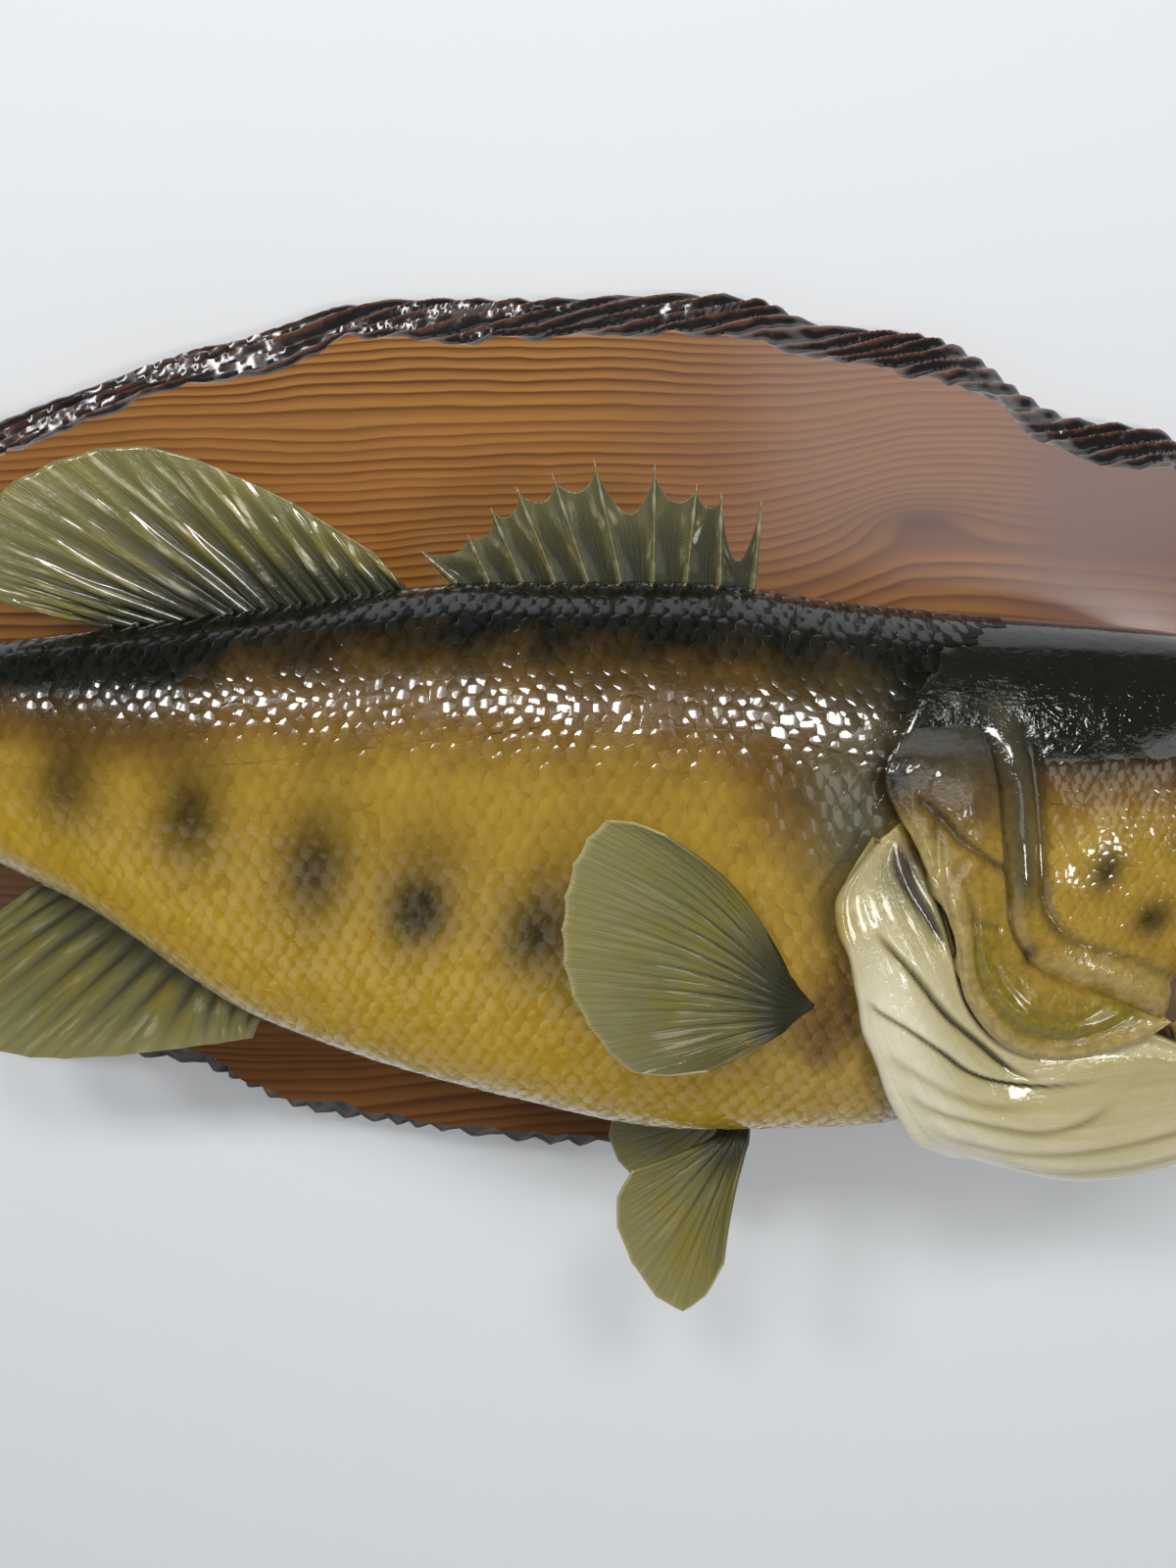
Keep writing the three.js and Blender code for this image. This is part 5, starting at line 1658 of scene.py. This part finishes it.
def chipped_rim(x, z, w):
    """How deep the chisel cut, in millimetres, and from 0 to 1 how high the wood is left there.

    Its strokes slant the same way all round the slab.
    """
    slant = math.radians(24)
    run = x * math.cos(slant) + z * math.sin(slant)
    row = z * math.cos(slant) - x * math.sin(slant)
    phase = row / 6.4 + 0.5 * wander(run / 24, row / 12, 41) + 0.2 * wander(run / 8, row / 5, 42)
    cut = 1 - np.abs(2 * (phase - np.floor(phase)) - 1)
    strength = 0.75 + 0.35 * wander(run / 15, row / 15, 43)
    rough = 0.15 * wander(run / 2.2, row / 1.4, 44)
    across = np.sin(math.pi * np.clip(w, 0, 1)) ** 0.6
    return (3.6 * cut * strength + 1.0 + rough) * across, 1 - cut


def cut_recess(slab):
    """Cuts the flat pocket for the hanger plate into the slab's back."""
    deselect()
    bpy.ops.mesh.primitive_cube_add(size=1, location=(0, 0, HANGER_Z * MM))
    cutter = bpy.context.object
    cutter.scale = ((HANGER_WIDTH + 2) * MM, 2 * HANGER_POCKET * MM, (HANGER_HEIGHT + 2) * MM)
    bpy.context.view_layer.update()
    apply_modifier(slab, "BOOLEAN", operation="DIFFERENCE", object=cutter, solver="EXACT")
    bpy.data.objects.remove(cutter)


def build_slab(colours):
    """The rim is a strip round the slab, from its face to its back, closed by the two flat faces."""
    edge, inward, even = slab_outline(RIM_STEPS)
    w = np.linspace(0, 1, RIM_ROWS)[:, None]
    inset = through([(0, RIM_WIDTH), (0.42, 7.1), (0.8, 0.6), (1, 1.8)])(w)
    depth = through([(0, SLAB_THICKNESS), (0.42, 17.4), (0.8, 7), (1, 0)])(w)
    uncut = edge[None] + inward[None] * inset[..., None]
    cut, high = chipped_rim(uncut[..., 0], uncut[..., 2] - 0.6 * depth, w)
    slope_in, slope_out = np.gradient(inset, axis=0), np.gradient(depth, axis=0)
    size = np.hypot(slope_in, slope_out)
    ragged = 2.2 * wander(even / 9, 0 * even, 46) + 1.5 * wander(even / 3.5, 0 * even, 47)
    into = inset + cut * np.abs(slope_out / size) + ragged * smoothstep(w, 0.35, 0.0)
    y = -(depth - cut * np.abs(slope_in / size) * smoothstep(w, 0.0, 0.08))
    points = edge[None] + inward[None] * into[..., None]
    points[..., 1] = np.minimum(y, 0)
    slab = sheet("slab", np.concatenate([points, points[:, :1]], 1) * MM)
    mark(slab, ridge=np.concatenate([high, high[:, :1]], 1))
    mesh = bpy.ops.mesh
    in_edit_mode(
        slab, (mesh.remove_doubles, {"threshold": 1e-6}), (mesh.select_all, {"action": "DESELECT"}),
        (mesh.select_non_manifold, {}), (mesh.edge_face_add, {}), (mesh.select_all, {"action": "SELECT"}),
        (mesh.normals_make_consistent, {"inside": False}),
    )
    cut_recess(slab)
    give(slab, slab_material(colours))
    smooth(slab, 40)
    for face in slab.data.polygons:
        face.use_smooth = face.use_smooth and face.area < 1e-4
    return finished(slab, "varnished_wood", "board")


def build_wood_group(colours):
    """Growth rings of a slab sawn along the trunk, with a knot that the grain flows round."""
    tree, given, result = node_group(
        "Growth rings", [("Rings per metre", FLOAT, RINGS_PER_METRE)], [("Color", COLOUR), ("Height", FLOAT)]
    )
    n = Nodes(tree)
    x, _, z = n.separate(n.position())
    across = n.minus(x, KNOT[0] * MM)
    above = n.minus(z, KNOT[1] * MM)

    def hill(value, width):
        square = n.math("POWER", n.math("DIVIDE", value, width), 2.0)
        return n.math("EXPONENT", n.times(square, -1.0))

    past_knot = n.range(across, -0.012, 0.02, 0.034, 0.105)
    arch = n.times(n.times(hill(across, past_knot), hill(above, 0.042)), 0.015)
    slow = n.times_plus(n.noise(n.position((1.0, 1, 2.0)), 5, 2, 0.4), 0.026, -0.013)
    ripple = n.times_plus(n.noise(n.position((1.0, 1, 1.6)), 32, 2, 0.5), 0.0024, -0.0012)
    swirl = n.times(n.times(hill(across, 0.019), hill(above, 0.0065)), 0.007)
    level = n.plus(n.minus(z, arch), n.plus(slow, ripple))
    level = n.minus(level, swirl)
    sample = n.combine(0.0, 0.0, n.times(level, 22.0))
    uneven = n.times(n.noise(sample, 1.0, 2, 0.5), 7.0)
    high_up = n.math("MAXIMUM", n.minus(level, 0.07), 0.0)
    closer = n.times(n.times(high_up, high_up), 700.0)
    rings = n.plus(n.times_plus(level, given["Rings per metre"], uneven), closer)
    saw = n.math("FRACT", rings)
    ring = n.times(n.math("POWER", saw, 1.7), n.range(saw, 1.0, 0.78))
    ring = n.times(ring, n.range(n.noise(sample, 3.1, 2, 0.6), 0.3, 0.6, 0.6, 1.5))
    fibre = n.noise(n.position((25, 1, 800)), 1.0, 3, 0.7)
    tint = n.noise(n.position((5, 1, 11)), 1.0, 3, 0.5)
    wood = n.mix(n.times(ring, 1.15, clamp=True), colours.early_wood, colours.late_wood)
    wood = n.mix(n.range(fibre, 0.35, 0.8, 0.0, 0.22), wood, colours.late_wood)
    wood = n.mix(n.range(tint, 0.3, 0.75, 0.0, 0.5), wood, colours.warm_wood)
    heart = n.times(hill(across, 0.011), hill(above, 0.0035))
    halo = n.times(hill(across, 0.026), hill(above, 0.009))
    wood = n.mix(n.times(halo, 0.6), wood, colours.late_wood)
    wood = n.mix(n.times(heart, 0.8), wood, colours.knot)
    specks = n.range(n.cells(n.position((1, 0, 1)), 24), 0.034, 0.02)
    wood = n.mix(n.times(specks, 0.7), wood, colours.knot)
    n.feed(wood, result["Color"])
    n.feed(n.times_plus(fibre, 0.3, ring), result["Height"])


def slab_material(colours):
    """Varnished wood with a scorched rim and a paler back, told apart by depth. It has painted shadow towards
    the bottom and a painted reflection on the right.
    """
    build_wood_group(colours)
    made, n, shader = material("Varnished slab", Coat_Roughness=0.16, Coat_IOR=1.5, Specular_IOR_Level=0.08)
    wood = n.group("Growth rings")
    here = n.position()
    x, y, z = n.separate(here)
    behind_face = n.range(y, -0.0279, -0.0268)
    scorch = n.noise(here, 120, 4, 0.65)
    bare = n.minus(n.times_plus(n.attribute("ridge"), 0.9, scorch), 0.62)
    burnt = n.ramp(bare, [
        (0.0, colours.char), (0.42, colours.char), (0.62, colours.rust), (0.9, colours.bare),
        (1.0, colours.bare),
    ])
    # Painted shadow: wood and rim darker towards the bottom, where the fish shades the slab.
    low = n.range(z, -0.04, -0.105)
    wood_with_painted_light = n.mix(n.times(low, 0.55), wood["Color"], colours.knot)
    burnt = n.mix(n.times(low, 0.7), burnt, colours.char)
    # Painted reflection: a pinkish sheen over the right side and the top right of the slab.
    painted_sheen = n.times(n.range(x, 0.0, 0.1), n.range(z, 0.05, 0.075, 0.15, 0.5))
    painted_sheen = n.times_plus(n.range(x, 0.145, 0.185), 0.55, painted_sheen)
    wood_with_painted_light = n.mix(painted_sheen, wood_with_painted_light, colours.painted_sheen)
    base = n.mix(behind_face, wood_with_painted_light, burnt)
    n.feed(n.minus(1.0, low), shader["Coat Weight"])
    back = n.range(y, -0.0012, -0.0004)
    base = n.mix(back, base, n.mix(0.3, wood["Color"], colours.sawn))
    n.feed(base, shader["Base Color"])
    rough_rim = n.times(n.noise(here, 300, 4, 0.6), n.times(behind_face, 1.6))
    height = n.plus(n.times(wood["Height"], 0.12), rough_rim)
    n.feed(n.bump(height, 0.0005, 0.6), shader["Normal"])
    n.feed(n.range(behind_face, 0.0, 1.0, 0.25, 0.42), shader["Roughness"])
    return made


def build_hanger():
    made, n, shader = material("Hanger steel", Metallic=1.0)
    brushed = n.noise(n.position((40, 1, 1200)), 1.0, 3, 0.6)
    n.feed(n.mix(brushed, paint("#8d8d88"), paint("#b7b7b1")), shader["Base Color"])
    n.feed(n.range(brushed, 0.2, 0.8, 0.28, 0.5), shader["Roughness"])
    n.feed(n.bump(brushed, 0.0001, 0.4), shader["Normal"])
    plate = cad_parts["hanger_plate"]
    for slot in plate.material_slots:
        slot.material = made


# ---------------------------------------------------------------- stage

# Each lamp's name, size, share of the key light's power, and place.
LAMPS = [("ceiling", (0.24, 0.18), 0.36, (x, -1.04, 0.8)) for x in (-0.68, -0.22, 0.24)] + [
    ("window", (0.8, 0.6), 0.2, (0.64, -1.3, 0.33)), ("low window", (0.3, 0.2), 0.32, (0.68, -1.3, -0.2)),
    ("lift", (1.4, 1.0), 0.2, (-0.5, -1.15, -0.85)), ("behind", (1.0, 1.0), 0.6, (-0.9, 1.3, 0.8)),
]
LAMP_TARGET = (0.0, -0.06, 0.0)
WALL = {"overlap": 10, "reaches": (0, 150, 4000), "behind": 1.5}
CAMERA = {"location": (0.020, -0.420, 0.0815), "tilt": 12.8, "roll": 1.18, "lens": 27, "sensor": 36}


def ground_material(colour, see_through):
    """A pale matt surface. Where see_through is set, the camera sees through its back."""
    made, n, shader = material("Pale room", Roughness=0.9, Specular_IOR_Level=0.1)
    n.feed(colour, shader["Base Color"])
    if see_through:
        behind = n.add("ShaderNodeNewGeometry").outputs["Backfacing"]
        from_camera = n.add("ShaderNodeLightPath").outputs["Is Camera Ray"]
        blend = n.add("ShaderNodeMixShader")
        n.feed(n.times(behind, from_camera), blend.inputs[0])
        n.feed(made.node_tree.nodes["Principled BSDF"].outputs[0], blend.inputs[1])
        n.feed(n.add("ShaderNodeBsdfTransparent").outputs[0], blend.inputs[2])
        n.feed(blend.outputs[0], made.node_tree.nodes["Material Output"].inputs["Surface"])
    return made


def add_lamp(name, size, power, location):
    deselect()
    bpy.ops.object.light_add(type="AREA", location=location)
    lamp = bpy.context.object
    lamp.name = name
    lamp.data.shape = "RECTANGLE"
    lamp.data.size, lamp.data.size_y = size
    lamp.data.energy = power
    lamp.rotation_euler = (Vector(LAMP_TARGET) - Vector(location)).to_track_quat("-Z", "Y").to_euler()


def wall_behind_slab():
    """A wide wall, open where the slab covers it, so that the slab's back can be lit and seen."""
    edge, inward, _ = slab_outline(240)
    inner = edge + WALL["overlap"] * inward
    away = inner / np.linalg.norm(inner, axis=1, keepdims=True)
    rings = np.stack([inner + reach * away for reach in WALL["reaches"]])
    rings[..., 1] = WALL["behind"]
    return sheet("wall", np.concatenate([rings, rings[:, :1]], 1) * MM, (0, -1, 0))


def add_room_light(colour):
    world = bpy.data.worlds.new("room")
    world.use_nodes = True
    background = world.node_tree.nodes["Background"]
    background.inputs["Color"].default_value = (*colour, 1)
    background.inputs["Strength"].default_value = 0.2
    bpy.context.scene.world = world


def add_camera():
    bpy.ops.object.camera_add(location=CAMERA["location"])
    camera = bpy.context.object
    camera.name = "camera"
    tilt, roll = math.radians(CAMERA["tilt"]), math.radians(CAMERA["roll"])
    forward = Vector((0, math.cos(tilt), -math.sin(tilt)))
    level_up = Vector((0, math.sin(tilt), math.cos(tilt)))
    right = Vector((1, 0, 0)) * math.cos(roll) - level_up * math.sin(roll)
    up = level_up * math.cos(roll) + Vector((1, 0, 0)) * math.sin(roll)
    turn = camera.matrix_world.to_3x3()
    turn.col[0], turn.col[1], turn.col[2] = right, up, -forward
    camera.rotation_euler = turn.to_euler()
    camera.data.sensor_width = CAMERA["sensor"]
    camera.data.lens = CAMERA["lens"]
    camera.data.clip_start = 0.01
    bpy.context.scene.camera = camera
    bpy.context.scene.view_settings.view_transform = "Standard"


def build_stage(settings):
    """The wall, the floor, the lamps, the room's light and the camera."""
    wall = wall_behind_slab()
    give(wall, ground_material(settings.ground, True))
    deselect()
    bpy.ops.mesh.primitive_plane_add(size=8, location=(0, -4, -1.2))
    floor = bpy.context.object
    floor.name = "floor"
    bpy.ops.object.transform_apply(location=True, rotation=True, scale=True)
    give(floor, ground_material(settings.ground, False))
    for name, size, share, location in LAMPS:
        add_lamp(name, size, settings.key_power * share, location)
    add_room_light(settings.ground)
    add_camera()


# ---------------------------------------------------------------- operators and panel


class BASS_OT_stage(bpy.types.Operator):
    """Adds the wall, the floor, the lamps and the camera"""

    bl_idname = "bass.stage"
    bl_label = "Stage"

    def execute(self, context):
        build_stage(context.scene.bass_stage)
        return {"FINISHED"}


class BASS_OT_paint(bpy.types.Operator):
    """Builds the node groups that skin and scales share"""

    bl_idname = "bass.paint"
    bl_label = "Shared paint"

    def execute(self, context):
        build_markings_group(context.scene.bass_colours)
        build_varnish_group()
        return {"FINISHED"}


class BASS_OT_skin(bpy.types.Operator):
    """Models the skin of head, jaws, gill covers, membranes and body in one piece"""

    bl_idname = "bass.skin"
    bl_label = "Skin"

    def execute(self, context):
        build_skin(context.scene.bass_sizes, context.scene.bass_colours)
        return {"FINISHED"}


class BASS_OT_scales(bpy.types.Operator):
    """Lays the scales of both flanks and both cheeks over the skin"""

    bl_idname = "bass.scales"
    bl_label = "Scales"

    def execute(self, context):
        build_scales(context.scene.bass_sizes, context.scene.bass_colours)
        return {"FINISHED"}


class BASS_OT_fins(bpy.types.Operator):
    """Models the eight fins with their rays and spines"""

    bl_idname = "bass.fins"
    bl_label = "Fins"

    def execute(self, context):
        build_fins(context.scene.bass_colours)
        return {"FINISHED"}


class BASS_OT_eyes_and_mouth(bpy.types.Operator):
    """Sets the glass eyes and models the tongue"""

    bl_idname = "bass.eyes_and_mouth"
    bl_label = "Eyes and mouth"

    def execute(self, context):
        build_eyes(context.scene.bass_colours)
        build_tongue(context.scene.bass_colours)
        return {"FINISHED"}


class BASS_OT_slab(bpy.types.Operator):
    """Models the wood slab with its chipped edge, and finishes its hanger"""

    bl_idname = "bass.slab"
    bl_label = "Slab"

    def execute(self, context):
        build_slab(context.scene.slab_colours)
        build_hanger()
        return {"FINISHED"}


STEPS = ("stage", "paint", "skin", "scales", "fins", "eyes_and_mouth", "slab")


class BASS_PT_mount(bpy.types.Panel):
    """Lists the steps of the mount"""

    bl_label = "Bass mount"
    bl_idname = "BASS_PT_mount"
    bl_space_type = "VIEW_3D"
    bl_region_type = "UI"
    bl_category = "Bass mount"

    def draw(self, context):
        for step in STEPS:
            self.layout.operator("bass." + step)


CLASSES = (
    BassSizes, BassColours, SlabColours, StageSettings, BASS_OT_stage, BASS_OT_paint, BASS_OT_skin,
    BASS_OT_scales, BASS_OT_fins, BASS_OT_eyes_and_mouth, BASS_OT_slab, BASS_PT_mount,
)
SETTINGS = {
    "bass_sizes": BassSizes, "bass_colours": BassColours, "slab_colours": SlabColours,
    "bass_stage": StageSettings,
}


def register():
    for cls in CLASSES:
        bpy.utils.register_class(cls)
    for name, cls in SETTINGS.items():
        setattr(bpy.types.Scene, name, bpy.props.PointerProperty(type=cls))


def unregister():
    for name in SETTINGS:
        delattr(bpy.types.Scene, name)
    for cls in reversed(CLASSES):
        bpy.utils.unregister_class(cls)


def main():
    register()
    for step in STEPS:
        getattr(bpy.ops.bass, step)()


if __name__ == "__main__":
    main()
